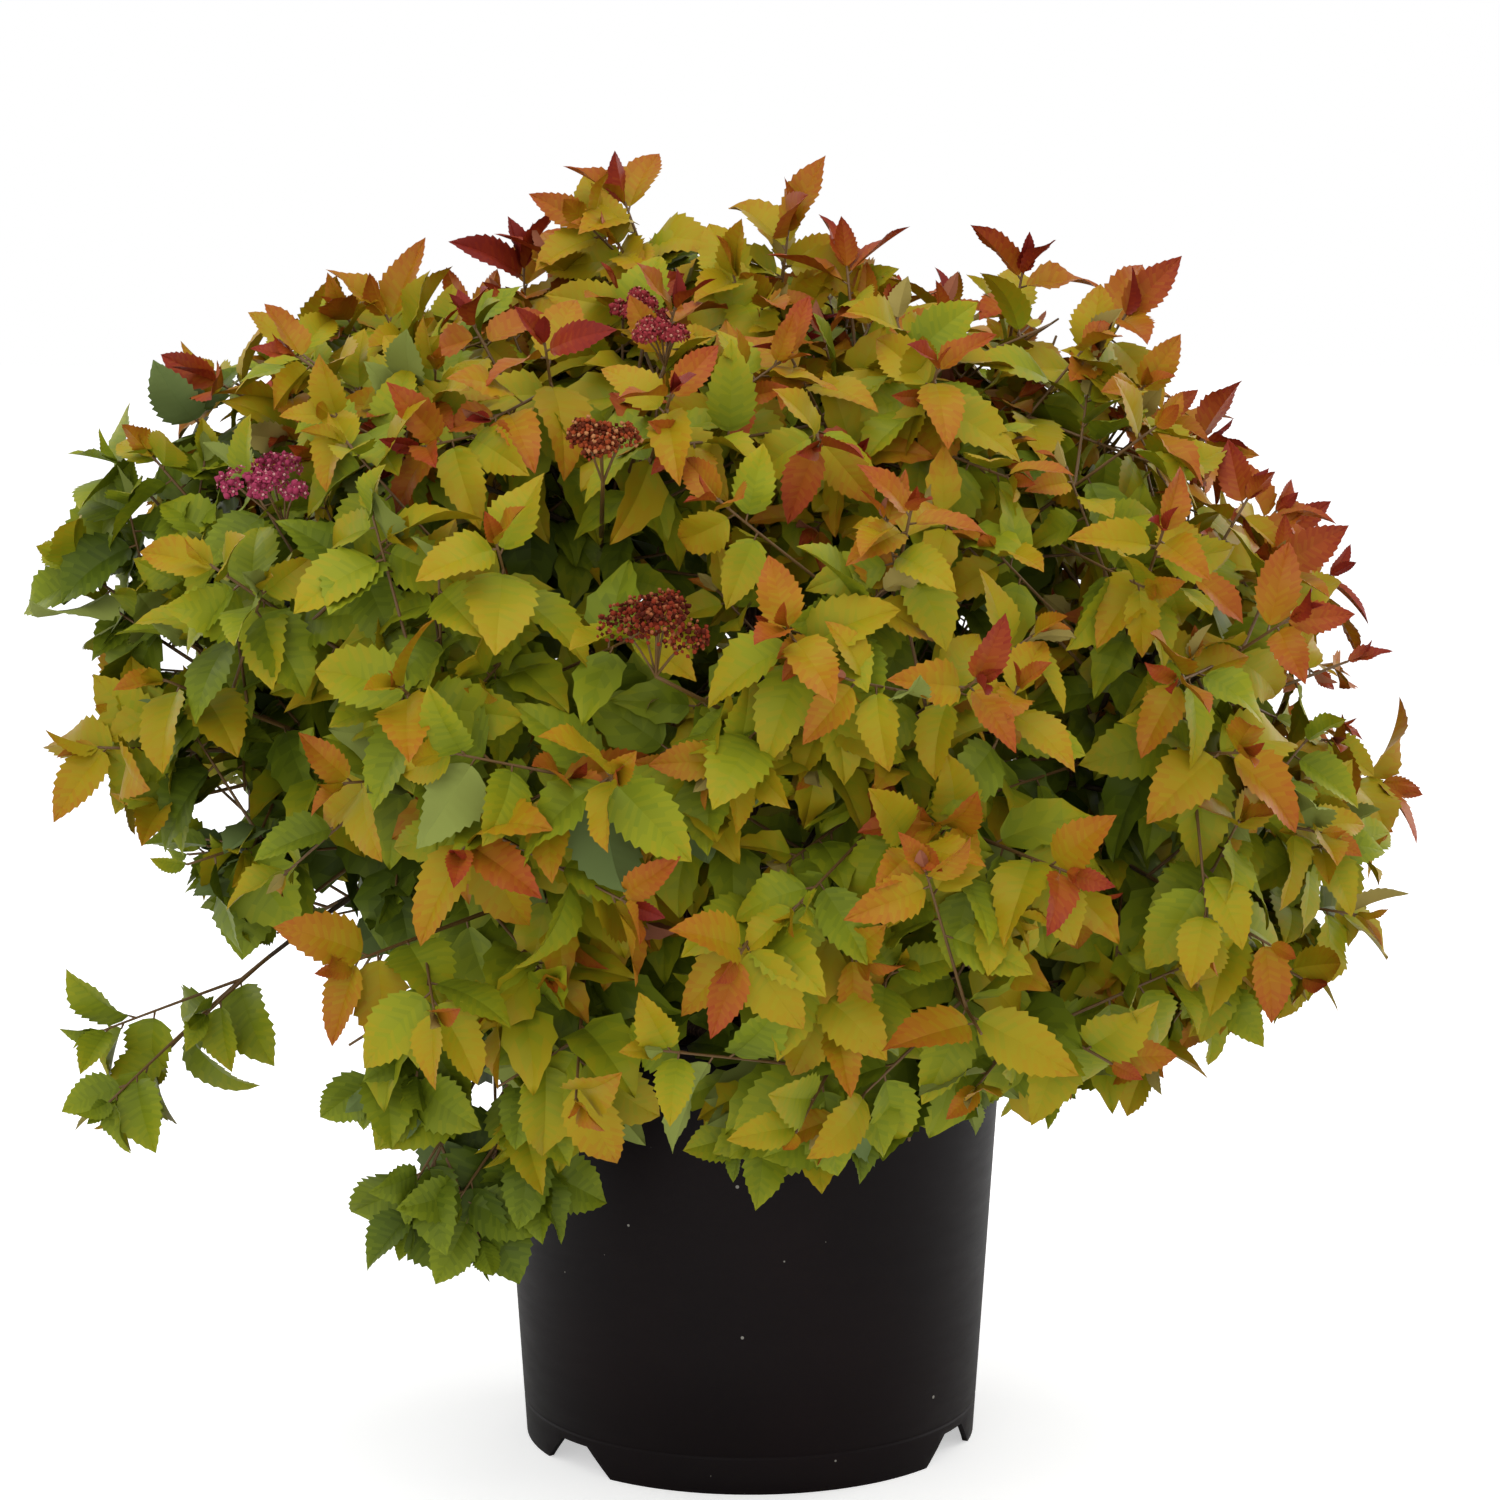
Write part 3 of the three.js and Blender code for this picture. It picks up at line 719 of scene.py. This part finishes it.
def leafy(line, random, found, turn, flush, vigour, most, stray, stretch):
    """Sets leaves down a shoot in a spiral from its tip, the youngest first. Little flush makes
    them broad and green, as in shade."""
    height = unit(line[-1] - CROWN_MIDDLE)[2]
    sag = 1.1 - 0.6 * max(height, 0)
    lifted = stray and height > LIFTED_HEIGHT
    held_out = stray and HELD_OUT_HEIGHT < height < HANGING_HEIGHT
    shade = min(max(1 - flush / SHADELESS_FLUSH, 0), MOST_SHADE)
    width = SUN_LEAF_WIDTH_SHARE + (SHADE_LEAF_WIDTH_SHARE - SUN_LEAF_WIDTH_SHARE) * shade
    first = TIP_AGE_IN_SHADE * shade
    # Held-out strays end lighter: painted light through their leaves.
    last, last_in_shade = HELD_OUT_PAINTED_LIGHT_AGES if held_out else LAST_AGES
    last = last + last_in_shade * shade
    along = lengths_along(line)
    length = along[-1]
    for rank in range(most):
        back = LEAF_STATIONS[rank] * stretch * vigour * random.uniform(0.9, 1.1)
        if back > length * 0.93:
            break
        place = length - back
        root = np.array([np.interp(place, along, line[:, axis]) for axis in range(3)])
        step = min(max(np.searchsorted(along, place), 1), len(line) - 1)
        tangent = unit(line[step] - line[step - 1])
        level = np.cross(tangent, UP)
        level = unit(level) if norm(level) > 0.05 else np.array([1.0, 0, 0])
        upright = np.cross(level, tangent)
        around = radians(turn + rank * LEAF_TURN + random.normal(0, 9))
        spread = radians(LEAF_SPREADS[rank] + random.normal(0, 6))
        way = unit(
            tangent * cos(spread)
            + level * sin(spread) * cos(around)
            + upright * sin(spread) * sin(around)
            - UP * (LEAF_SAGS[rank] * sag + random.normal(0, 0.1))
        )
        outward = unit(root - CROWN_MIDDLE)
        light = outward * OUTWARD + SUNWARD + STRAY_FORWARD * stray
        light = light + random.normal(0, FACE_SCATTER, 3)
        if rank < 2:
            light = upright * sin(around) + level * cos(around)
            light = tangent - light * 0.8
        face = unit(light - way * light.dot(way))
        depth = 1 - norm(root - CROWN_MIDDLE) / crown_reach(outward)
        # Depth in the crown darkens a leaf's tint: partly age, partly painted shade.
        age = first + (last - first) * LEAF_AGES[rank] + max(depth - INNER_DEPTH, 0) * AGE_AND_PAINTED_SHADE_BY_DEPTH
        young = max(1 - rank / YOUNG_LEAVES, 0)
        petiole = way * PETIOLE * min(1, 0.3 + rank * 0.2)
        full_length = LEAF_LENGTHS[min(rank + lifted, len(LEAF_LENGTHS) - 1)]
        found.append(dict(
            petiole=(root, root + petiole),
            root=root + petiole * 0.9,
            way=way,
            face=face,
            length=full_length * vigour * random.uniform(0.88, 1.1),
            width=width * random.uniform(0.88, 1.1) * (1 - 0.08 * young),
            fold=random.uniform(0.08, 0.4) + 0.28 * young,
            arch=random.uniform(0.25, 1.1) * (1 - 0.75 * young) + 0.05,
            twist=random.normal(0, 0.3),
            wave=random.uniform(0.02, 0.14),
            phase=random.uniform(0, 6.28),
            age=age + random.normal(0, 0.45),
            stray=stray and place > 0.5 * length,
            turned=face.dot(outward) < TURNED_OVER,
            inner=depth > INNER_DEPTH,
        ))
        # A few of the older leaves lie with their undersides up
        if rank > 3 and found[-1]["phase"] < TURNED_SHARE * 2 * pi:
            found[-1].update(face=-face, turned=True)


def within_reach(points, stray):
    """Whether a leaf keeps to the crown, apart from those of the straying shoots, and leaves the
    open places open."""
    out = points - CROWN_MIDDLE
    far = norm(out, axis=-1)
    way = out / far[..., None]
    reach = crown_reach(way)
    kept = (far < reach + REACH_MARGIN + REACH_MARGIN_RISE * way[..., 2]).all(axis=-1)
    for bearing, climb, width, depth in OPENINGS:
        near = (way * direction(bearing, climb)).sum(-1) > cos(radians(width))
        kept &= ~(near & (far > reach * depth)).any(axis=-1)
    return kept | stray


def clear_of_channels(points):
    """Whether a leaf leaves open the channels that sky shows through, front to back."""
    kept = np.ones(len(points), bool)
    for x, z, radius in CHANNELS:
        along = unit(np.array([x, 0, z]) - EYE)
        out = points - EYE
        aside = out - (out @ along)[..., None] * along
        kept &= (norm(aside, axis=-1) > radius).all(axis=-1)
    return kept


def clear_of_pot(points):
    """Whether no point of a leaf is inside the pot, its filling or the floor."""
    out = np.hypot(points[..., 0], points[..., 1])
    height = points[..., 2]
    wall = np.where(height > POT_HEIGHT - POT_RIM_DEPTH - 1, POT_RIM_RADIUS, POT_SHOULDER_RADIUS)
    inside = (height < POT_HEIGHT + 1) & (out < wall + 1)
    return ~(inside | (height < 4)).any(axis=-1)


# Growing the plant

masses = lay_out_masses()
for number, reach in enumerate(shoot_reaches()):
    nearest_mass(masses, reach)["reaches"].append((reach, number))
LEAF_NODES = [f"leaves_{mass['label']}" for mass in masses]

random = np.random.default_rng(GROWTH_SEED)
bark = stem_bark()
twigs = Growth()
found = []


def roughened(points, radii, sides, random):
    """Radii for each side of each ring, with strips of bark and swollen nodes."""
    grain = random.uniform(0, 6.28)
    strips = np.sin(np.arange(sides) * 2.4 + grain)[None] * 0.05
    ripple = random.normal(0, 0.035, (len(points), sides))
    nodes = np.where(np.arange(len(points)) % 7 == 3, 0.12, 0)[:, None]
    return np.asarray(radii)[:, None] * (1 + strips + ripple + nodes)


# Each shoot has a generator of its own, so a change to one leaves the others alone
for mass in masses:
    hub, arrival, foot = mass["hub"], mass["arrival"], mass["foot"]
    stem = bezier([foot, foot + UP * mass["rise"], hub - arrival * STEM_LEAD, hub], STEM_POINTS)
    end, shoots = lay_out_shoots(mass)
    inner = evenly(np.array([hub, end]), MASS_STEM_POINTS)
    line = np.concatenate([stem, inner[1:]])
    line[0, 2] -= 3
    radii = np.concatenate([
        np.linspace(STEM_FOOT_RADIUS, STEM_TIP_RADIUS, STEM_POINTS),
        np.linspace(STEM_TIP_RADIUS, MASS_STEM_END_RADIUS, MASS_STEM_POINTS)[1:],
    ])
    wood = Growth()
    wood.add(*tube(line, roughened(line, radii, STEM_SIDES, random), STEM_SIDES))
    wood.piece(f"stem_of_{mass['label']}", [bark], "bark", [f"stem_{mass['label']}"])

    for start, reach, turn, number in shoots:
        random = np.random.default_rng([GROWTH_SEED, number])
        stray = number >= SHOOTS
        way = unit(reach - CROWN_MIDDLE)
        hanging = stray and way[2] < HANGING_HEIGHT
        tip_short = HANGING_TIP_SHORT if hanging else TIP_SHORT
        stretch = HANGING_STRETCH if hanging else 1
        line = twig_line(start, reach, tip_short, TWIG_POINTS, STRAY_DROOP * hanging)
        sun = sunniness(reach)
        vigour = random.uniform(0.88, 1.1) + SHADE_LEAF_GROWTH * (1 - sun / 0.4) * 0.5
        vigour = min(vigour + 0.1 * stray, 1.16) - 0.12 * hanging
        flush = sun + random.normal(0, FLUSH_SCATTER)
        # Low hanging strays get painted shade, as older, darker green tints.
        flush -= HUNG_PAINTED_SHADE * (stray and way[2] < PAINTED_SHADE_HEIGHT)
        points, faces = tube(line, np.linspace(TWIG_FOOT_RADIUS, TWIG_TIP_RADIUS, TWIG_POINTS), 6)
        twigs.add(points, faces, (np.arange(len(faces)) > len(faces) * TWIG_WOOD_SHARE).astype(int))
        leafy(line, random, found, turn, flush, vigour, len(LEAF_STATIONS), stray, stretch)

        flush, vigour = flush - SIDE_FLUSH_LOSS, vigour * SIDE_VIGOUR
        most = HANGING_SIDE_LEAVES if hanging else SIDE_LEAVES
        for k, start_share in enumerate(SIDE_STARTS):
            place = start_share + random.uniform(-0.06, 0.06)
            root = line[int(place * (TWIG_POINTS - 1))]
            aside = spoke(way, random.uniform(0, 2 * pi), (0.3, 0.2, 0.9))
            swing = STRAY_SWING if stray else SIDE_SWING
            angle = radians(swing * random.uniform(0.8, 1.5))
            side_way = unit(way * cos(angle) + aside * sin(angle))
            share = SIDE_REACHES[k] + random.uniform(-0.06, 0.05)
            far = norm(reach - CROWN_MIDDLE) if stray else crown_reach(side_way)
            side_reach = CROWN_MIDDLE + side_way * far * share
            side_line = twig_line(root, side_reach, TIP_SHORT, SIDE_TWIG_POINTS)
            straying = stray and k >= (HANGING_SIDES if hanging else STRAY_SIDES)
            if not within_reach(side_line[SIDE_TWIG_POINTS // 2:], straying):
                continue
            radii = np.linspace(SIDE_TWIG_RADIUS, TWIG_TIP_RADIUS * 0.9, SIDE_TWIG_POINTS)
            twigs.add(*tube(side_line, radii, 5), 1)
            turn += SIDE_TURN
            leafy(side_line, random, found, turn, flush, vigour, most, straying, stretch)

leaves = {name: np.array([leaf[name] for leaf in found]) for name in found[0] if name != "petiole"}
kinds = np.clip(np.round(leaves["age"]), 0, len(LEAF_TINTS) - 1).astype(int)
leaf_faces, leaf_backs = leaf_finishes()
blades = [Growth() for _ in LEAF_TINTS]
plain = bent(leaf_outline(INNER_LEAF_TEETH)[0], leaves)
kept = clear_of_pot(plain) & within_reach(plain, leaves["stray"]) & clear_of_channels(plain)
underside = 2 * LOOK_STEPS + 1
for inner, teeth in ((False, LEAF_TEETH), (True, INNER_LEAF_TEETH)):
    outline, outline_faces, looks = leaf_outline(teeth)
    chosen = np.flatnonzero(kept & (leaves["inner"] == inner))
    faces_up = bent(outline, {name: values[chosen] for name, values in leaves.items()})
    for k, points in zip(chosen, faces_up):
        shifts = np.round(LOOK_STEPS + looks + random.normal(0, LOOK_SCATTER))
        older = np.clip(shifts, 0, 2 * LOOK_STEPS).astype(int)
        blades[kinds[k]].add(points, outline_faces, underside if leaves["turned"][k] else older)
for k in np.flatnonzero(kept):
    twigs.add(*tube(np.array(found[k]["petiole"]), [0.65, 0.45], 3), 1)
twigs.piece("twigs", twig_finishes(), "twig", LEAF_NODES)
for kind, (name, _) in enumerate(LEAF_TINTS):
    steps = np.clip(2 * kind + np.arange(-LOOK_STEPS, LOOK_STEPS + 1), 0, len(leaf_faces) - 1)
    tints = [leaf_faces[step] for step in steps] + [leaf_backs[UNDERSIDE_OF[kind]]]
    blades[kind].piece(f"{name}_sprays", tints, SLOT_OF[kind], LEAF_NODES)


# Flower heads

def floret(middle, axis, radius, turn):
    """Five round petals in a shallow cup, round a bead of stamens."""
    points, faces = [], []
    for petal in range(5):
        out = spoke(axis, turn + petal * 2 * pi / 5)
        aside = np.cross(axis, out)
        first = len(points)
        points += [
            middle + out * radius * 0.15,
            middle + out * radius * 0.6 + aside * radius * 0.38 + axis * radius * 0.16,
            middle + out * radius + axis * radius * 0.3,
            middle + out * radius * 0.6 - aside * radius * 0.38 + axis * radius * 0.16,
        ]
        faces += [[first, first + 1, first + 2], [first, first + 2, first + 3]]
    finishes = [0] * len(faces)
    beads, bead_faces = bead(middle + axis * radius * 0.25, axis, radius * 0.3)
    faces += (bead_faces + len(points)).tolist()
    finishes += [2] * len(bead_faces)
    return np.concatenate([np.array(points), beads]), np.array(faces), np.array(finishes)


def bead(middle, axis, radius):
    """A rounded bud: two fans over a ring of five."""
    ring = [middle + radius * spoke(axis, k * 1.2566) for k in range(5)]
    points = np.array(ring + [middle + axis * radius, middle - axis * radius])
    faces = [[k, (k + 1) % 5, 5] for k in range(5)] + [[(k + 1) % 5, k, 6] for k in range(5)]
    return points, np.array(faces)


for number, (bearing, climb, share, radius, bloom) in enumerate(HEADS):
    middle = crown_point(direction(bearing, climb), share)
    mass = nearest_mass(masses, middle)
    start = (mass["hub"] + lay_out_shoots(mass)[0]) / 2
    axis = unit(unit(middle - CROWN_MIDDLE) * 0.6 + UP)
    fresh = bloom in ("magenta", "pink")
    florets, spread, looseness, least, greatest = FRESH_HEAD if fresh else SPENT_HEAD
    head, stalks = Growth(), Growth()
    base = middle - axis * radius * 0.9
    stalks.add(*tube(twig_line(start, base, 0, 12), np.linspace(1.2, 0.8, 12), 5))
    for k in range(CLUSTERS):
        room = radius * spread * sqrt((k + 0.3) / (CLUSTERS - 1))
        out = room * random.uniform(0.75, 1.1)
        heart = middle + out * spoke(axis, k * FLORET_TURN + number)
        heart = heart + axis * (radius * 0.18 * (1 - out / radius) + random.normal(0, 2))
        lump = radius * random.uniform(least, greatest)
        outward = unit(heart - base)
        stalks.add(*tube(np.array([base, (base + heart) / 2 + axis, heart]), [0.6, 0.5, 0.45], 4))
        for n in range(florets):
            rise = 1 - 1.25 * (n + 0.5) / florets
            side = sqrt(max(1 - rise * rise, 0))
            lean = unit(outward * rise + spoke(axis, n * FLORET_TURN) * side)
            spot = heart + lean * lump * looseness * random.uniform(0.7, 1.25)
            if fresh and n % 3:
                head.add(*floret(spot, lean, random.uniform(1.7, 2.5), n))
            elif fresh:
                head.add(*bead(spot, lean, random.uniform(*BUD_RADII)))
            else:
                leaning = unit(lean + random.normal(0, 0.5, 3))
                head.add(*bead(spot, leaning, random.uniform(*SPENT_RADII)), [0, 1, 0, 2, 1][n % 5])
    head.piece(f"flower_head_{number + 1}", bloom_finishes(bloom), "blossom", LEAF_NODES)
    stalk_finish = bpy.data.materials["flushed_shoot_skin"]
    stalks.piece(f"flower_stalks_{number + 1}", [stalk_finish], "twig", LEAF_NODES)


# Pot, potting mix and stool

def edit(on=True):
    """Starts or ends work on the points of the active piece."""
    bpy.ops.object.mode_set(mode="EDIT" if on else "OBJECT")


def only(*pieces):
    """Selects these pieces alone, the first as the active one."""
    bpy.ops.object.select_all(action="DESELECT")
    for piece in pieces:
        piece.select_set(True)
    bpy.context.view_layer.objects.active = pieces[0]


def added(kind, **settings):
    """A new primitive, selected alone."""
    bpy.ops.object.select_all(action="DESELECT")
    getattr(bpy.ops.mesh, f"primitive_{kind}_add")(**settings)
    return bpy.context.object


def covered(piece, material):
    """Gives a piece one material, and selects it alone."""
    only(piece)
    piece.data.materials.clear()
    piece.data.materials.append(material)


def choose(mesh, wanted):
    """Selects the points of a mesh whose places are wanted, and what lies between them."""
    chosen = [wanted(vertex.co) for vertex in mesh.vertices]
    for vertex, flag in zip(mesh.vertices, chosen):
        vertex.select = flag
    for part in [*mesh.edges, *mesh.polygons]:
        part.select = all(chosen[v] for v in part.vertices)


def thrown(name, profile, facets):
    """A round piece drawn up ring by ring from a circle, by [radius, height] in millimetres."""
    radius, height = profile[0]
    piece = added("circle", vertices=facets, radius=radius * MM, fill_type="NGON",
                  location=(0, 0, height * MM))
    piece.name = name
    edit()
    bpy.ops.mesh.select_mode(type="EDGE")
    bpy.ops.mesh.region_to_loop()
    for next_radius, next_height in profile[1:]:
        rise = (next_height - height) * MM
        bpy.ops.mesh.extrude_edges_move(TRANSFORM_OT_translate={"value": (0, 0, rise)})
        grow = next_radius / radius
        bpy.ops.transform.resize(value=(grow, grow, 1), center_override=(0, 0, 0))
        radius, height = next_radius, next_height
    bpy.ops.mesh.edge_face_add()
    bpy.ops.mesh.select_all(action="SELECT")
    bpy.ops.mesh.normals_make_consistent()
    edit(False)
    bpy.ops.object.transform_apply()
    return piece


def with_modifier(piece, kind, **settings):
    """Adds a modifier and applies it."""
    only(piece)
    modifier = piece.modifiers.new(kind.lower(), kind)
    for name, value in settings.items():
        setattr(modifier, name, value)
    bpy.ops.object.modifier_apply(modifier=modifier.name)


def nursery_pot():
    """A moulded pot: a tapering wall with a crease over its foot, a stepped rim, a lifted floor."""
    shoulder = POT_HEIGHT - POT_RIM_DEPTH

    def outside(height):
        return POT_BASE_RADIUS + (POT_SHOULDER_RADIUS - POT_BASE_RADIUS) * height / shoulder

    rim, bore = POT_RIM_RADIUS, POT_RIM_RADIUS - POT_WALL
    pot = thrown("nursery_pot", [
        [12, POT_FLOOR_LIFT],
        [60, POT_FLOOR_LIFT],
        [outside(POT_FLOOR_LIFT) - POT_WALL, POT_FLOOR_LIFT],
        [outside(0) - POT_WALL, 0],
        [outside(0), 0],
        [outside(7), 7],
        [outside(15.2), 15.2],
        [outside(16) - 0.5, 16],
        [outside(17) - 0.5, 17],
        [outside(17.8), 17.8],
        [outside(60), 60],
        [outside(110), 110],
        [outside(150), 150],
        [outside(shoulder - 1), shoulder - 1],
        [POT_SHOULDER_RADIUS + 0.8, shoulder],
        [rim - 1.2, shoulder + 0.2],
        [rim, shoulder + 1.4],
        [rim, POT_HEIGHT - 3.2],
        [rim - 0.4, POT_HEIGHT - 2.6],
        [rim, POT_HEIGHT - 2],
        [rim, POT_HEIGHT - 0.6],
        [rim - 0.7, POT_HEIGHT],
        [bore + 0.6, POT_HEIGHT],
        [bore, POT_HEIGHT - 0.7],
        [bore, shoulder + POT_WALL + 1],
        [bore - 1, shoulder + POT_WALL],
        [POT_SHOULDER_RADIUS - POT_WALL + 0.8, shoulder + POT_WALL],
        [POT_SHOULDER_RADIUS - POT_WALL, shoulder + 1],
        [outside(POT_FLOOR_TOP) - POT_WALL, POT_FLOOR_TOP],
        [60, POT_FLOOR_TOP],
        [12, POT_FLOOR_TOP],
    ], POT_FACETS)
    below = 6
    widest = NOTCH_WIDTH_LOW + (NOTCH_WIDTH_LOW - NOTCH_WIDTH_HIGH) * below / NOTCH_HEIGHT
    for bearing in NOTCH_BEARINGS:
        cutter = added("cube", size=1)
        edit()
        height = (NOTCH_HEIGHT + below) * MM
        bpy.ops.transform.resize(value=(widest * MM, POT_RIM_RADIUS * MM / 2, height))
        bpy.ops.transform.translate(value=(0, -POT_RIM_RADIUS * MM * 0.75, height / 2 - below * MM))
        edit(False)
        choose(cutter.data, lambda place: place.z > 0)
        edit()
        narrow = NOTCH_WIDTH_HIGH / widest
        bpy.ops.transform.resize(value=(narrow, 1, 1), center_override=(0, 0, 0))
        edit(False)
        cutter.matrix_world = Matrix.Rotation(radians(bearing), 4, "Z")
        bpy.context.view_layer.update()
        with_modifier(pot, "BOOLEAN", object=cutter, operation="DIFFERENCE", solver="EXACT")
        bpy.data.objects.remove(cutter)
    with_modifier(pot, "BEVEL", width=0.5 * MM, segments=2, limit_method="ANGLE",
                  angle_limit=radians(40))
    covered(pot, pot_plastic())
    bpy.ops.object.shade_smooth_by_angle(angle=radians(32))
    return finished(pot, ["pot"])


def potting_mix():
    """The filling, level in the middle and a little lower at the wall, with a crumbly top."""
    slope = (POT_SHOULDER_RADIUS - POT_BASE_RADIUS) / (POT_HEIGHT - POT_RIM_DEPTH)

    def fill(height):
        return POT_BASE_RADIUS + slope * height - POT_WALL - GAP

    rings = [[fill(height), height] for height in (17, 90, 165, MIX_EDGE_HEIGHT)]
    for radius in range(102, 0, -6):
        drop = (radius - MIX_LEVEL_RADIUS) / (fill(MIX_EDGE_HEIGHT) - MIX_LEVEL_RADIUS)
        height = MIX_TOP_HEIGHT - max(drop, 0) * (MIX_TOP_HEIGHT - MIX_EDGE_HEIGHT)
        rings.append([radius, height - 0.6])
    mix = thrown("potting_mix_filling", rings, 72)
    choose(mix.data, lambda place: place.z > 170 * MM and place.xy.length < 104 * MM)
    edit()
    bpy.ops.transform.vertex_random(offset=1.6 * MM, uniform=0.2, normal=0.5, seed=3)
    edit(False)
    covered(mix, mix_soil())
    bpy.ops.object.shade_smooth()
    return finished(mix, ["potting_mix"])


def bark_chips():
    """Chips of bark lying on the mix, one shaped and the rest its turned copies."""
    first = added("cube", size=1)
    edit()
    bpy.ops.transform.resize(value=(11 * MM, 6 * MM, 2.2 * MM))
    bpy.ops.mesh.subdivide(number_cuts=2)
    bpy.ops.transform.vertex_random(offset=0.9 * MM, uniform=0.3, seed=5)
    bpy.ops.mesh.quads_convert_to_tris()
    edit(False)
    first.data.materials.append(chip_bark())
    chips = []
    for k in range(BARK_CHIPS):
        chip = first.copy()
        chip.data = first.data.copy()
        out = CHIPS_FROM + CHIPS_ACROSS * sqrt(random.uniform(0, 1))
        around = random.uniform(0, 2 * pi)
        drop = max(out - MIX_LEVEL_RADIUS, 0) / CHIPS_ACROSS * (MIX_TOP_HEIGHT - MIX_EDGE_HEIGHT)
        height = MIX_TOP_HEIGHT + 0.9 - drop
        spin = Matrix.Rotation(random.uniform(0, 6.28), 4, "Z")
        turn = spin @ Matrix.Rotation(random.normal(0, 0.2), 4, "X")
        spot = Vector((out * cos(around), out * sin(around), height)) * MM
        sizes = [random.uniform(least, 1.3) for least in (0.5, 0.6, 0.7)]
        size = Matrix.Diagonal((*sizes, 1))
        chip.data.transform(Matrix.Translation(spot) @ turn @ size)
        bpy.context.collection.objects.link(chip)
        chips.append(chip)
    bpy.data.objects.remove(first)
    only(*chips)
    bpy.ops.object.join()
    piece = bpy.context.object
    piece.name = "bark_chips"
    return finished(piece, ["potting_mix"])


def stool():
    """The knuckled woody base that the stems rise from."""
    wood = thrown("woody_stool", [
        [STOOL_RADIUS - 1, STOOL_FOOT],
        [STOOL_RADIUS * 1.02, STOOL_FOOT + 2],
        [STOOL_RADIUS * 1.05, STOOL_FOOT + 4],
        [STOOL_RADIUS, STOOL_TOP - 2],
        [STOOL_RADIUS * 0.88, STOOL_TOP - 0.6],
        [STOOL_RADIUS * 0.6, STOOL_TOP],
        [STOOL_RADIUS * 0.3, STOOL_TOP],
    ], 40)
    edit()
    bpy.ops.mesh.select_all(action="SELECT")
    bpy.ops.transform.vertex_random(offset=1.4 * MM, uniform=0.2, normal=0.4, seed=8)
    edit(False)
    with_modifier(wood, "SUBSURF", levels=1)
    covered(wood, bark)
    bpy.ops.object.shade_smooth()
    return finished(wood, ["stool"])


nursery_pot()
potting_mix()
bark_chips()
stool()


# Floor, light and camera

def studio():
    scene = bpy.context.scene
    floor_finish, shader = finish_of("pale_floor", Base_Color=(0.9, 0.9, 0.9, 1), Roughness=0.9,
                                     Specular_IOR_Level=0, Emission_Color=(1, 1, 1, 1))
    seen = add_node(floor_finish, "LightPath").outputs["Is Camera Ray"]
    glow = add_node(floor_finish, "Math", {"operation": "MULTIPLY"}, _0=seen, _1=0.5)
    floor_finish.node_tree.links.new(glow.outputs["Value"], shader.inputs["Emission Strength"])
    floor = added("plane", size=40)
    floor.name = "studio_floor"
    floor.data.materials.append(floor_finish)

    # White to the camera, and a little dimmer as a light
    world = bpy.data.worlds.new("studio_light")
    scene.world = world
    world.use_nodes = True
    tree = world.node_tree
    dim = tree.nodes["Background"]
    dim.inputs["Color"].default_value = (1, 1, 1, 1)
    dim.inputs["Strength"].default_value = 0.8
    white = add_node(world, "Background", Color=(1, 1, 1, 1))
    seen = add_node(world, "LightPath").outputs["Is Camera Ray"]
    mixed = add_node(world, "MixShader", _0=seen, _1=dim.outputs[0], _2=white.outputs[0])
    tree.links.new(mixed.outputs[0], tree.nodes["World Output"].inputs["Surface"])
    lamps = [
        ["overhead_softbox", (0, -0.6, 1.7), 1.3, 7.7],
        ["left_back_strip", (-1.5, 0.9, 0.9), 0.8, 4],
        ["right_back_strip", (1.5, 0.9, 0.9), 0.8, 8],
        ["front_fill", (-0.9, -2.3, 0.9), 1.2, 4],
        ["back_fill", (0.5, 2.3, 0.9), 1.2, 4],
        ["low_fill", (-0.4, -2.2, 0.14), 1.6, 5],
    ]
    for name, place, size, power in lamps:
        lamp = bpy.data.lights.new(name, "AREA")
        lamp.energy = power
        lamp.size = size
        held = placed(name, lamp)
        held.location = place
        held.rotation_mode = "QUATERNION"
        held.rotation_quaternion = (Vector((0, 0, 0.28)) - held.location).to_track_quat("-Z", "Y")

    lens = bpy.data.cameras.new("camera")
    lens.lens = CAMERA_LENS
    lens.sensor_width = 36
    camera = placed("camera", lens)
    camera.location = EYE * MM
    camera.rotation_euler = (radians(90 - CAMERA_DIP), 0, 0)
    scene.camera = camera
    scene.view_settings.view_transform = "Standard"


studio()
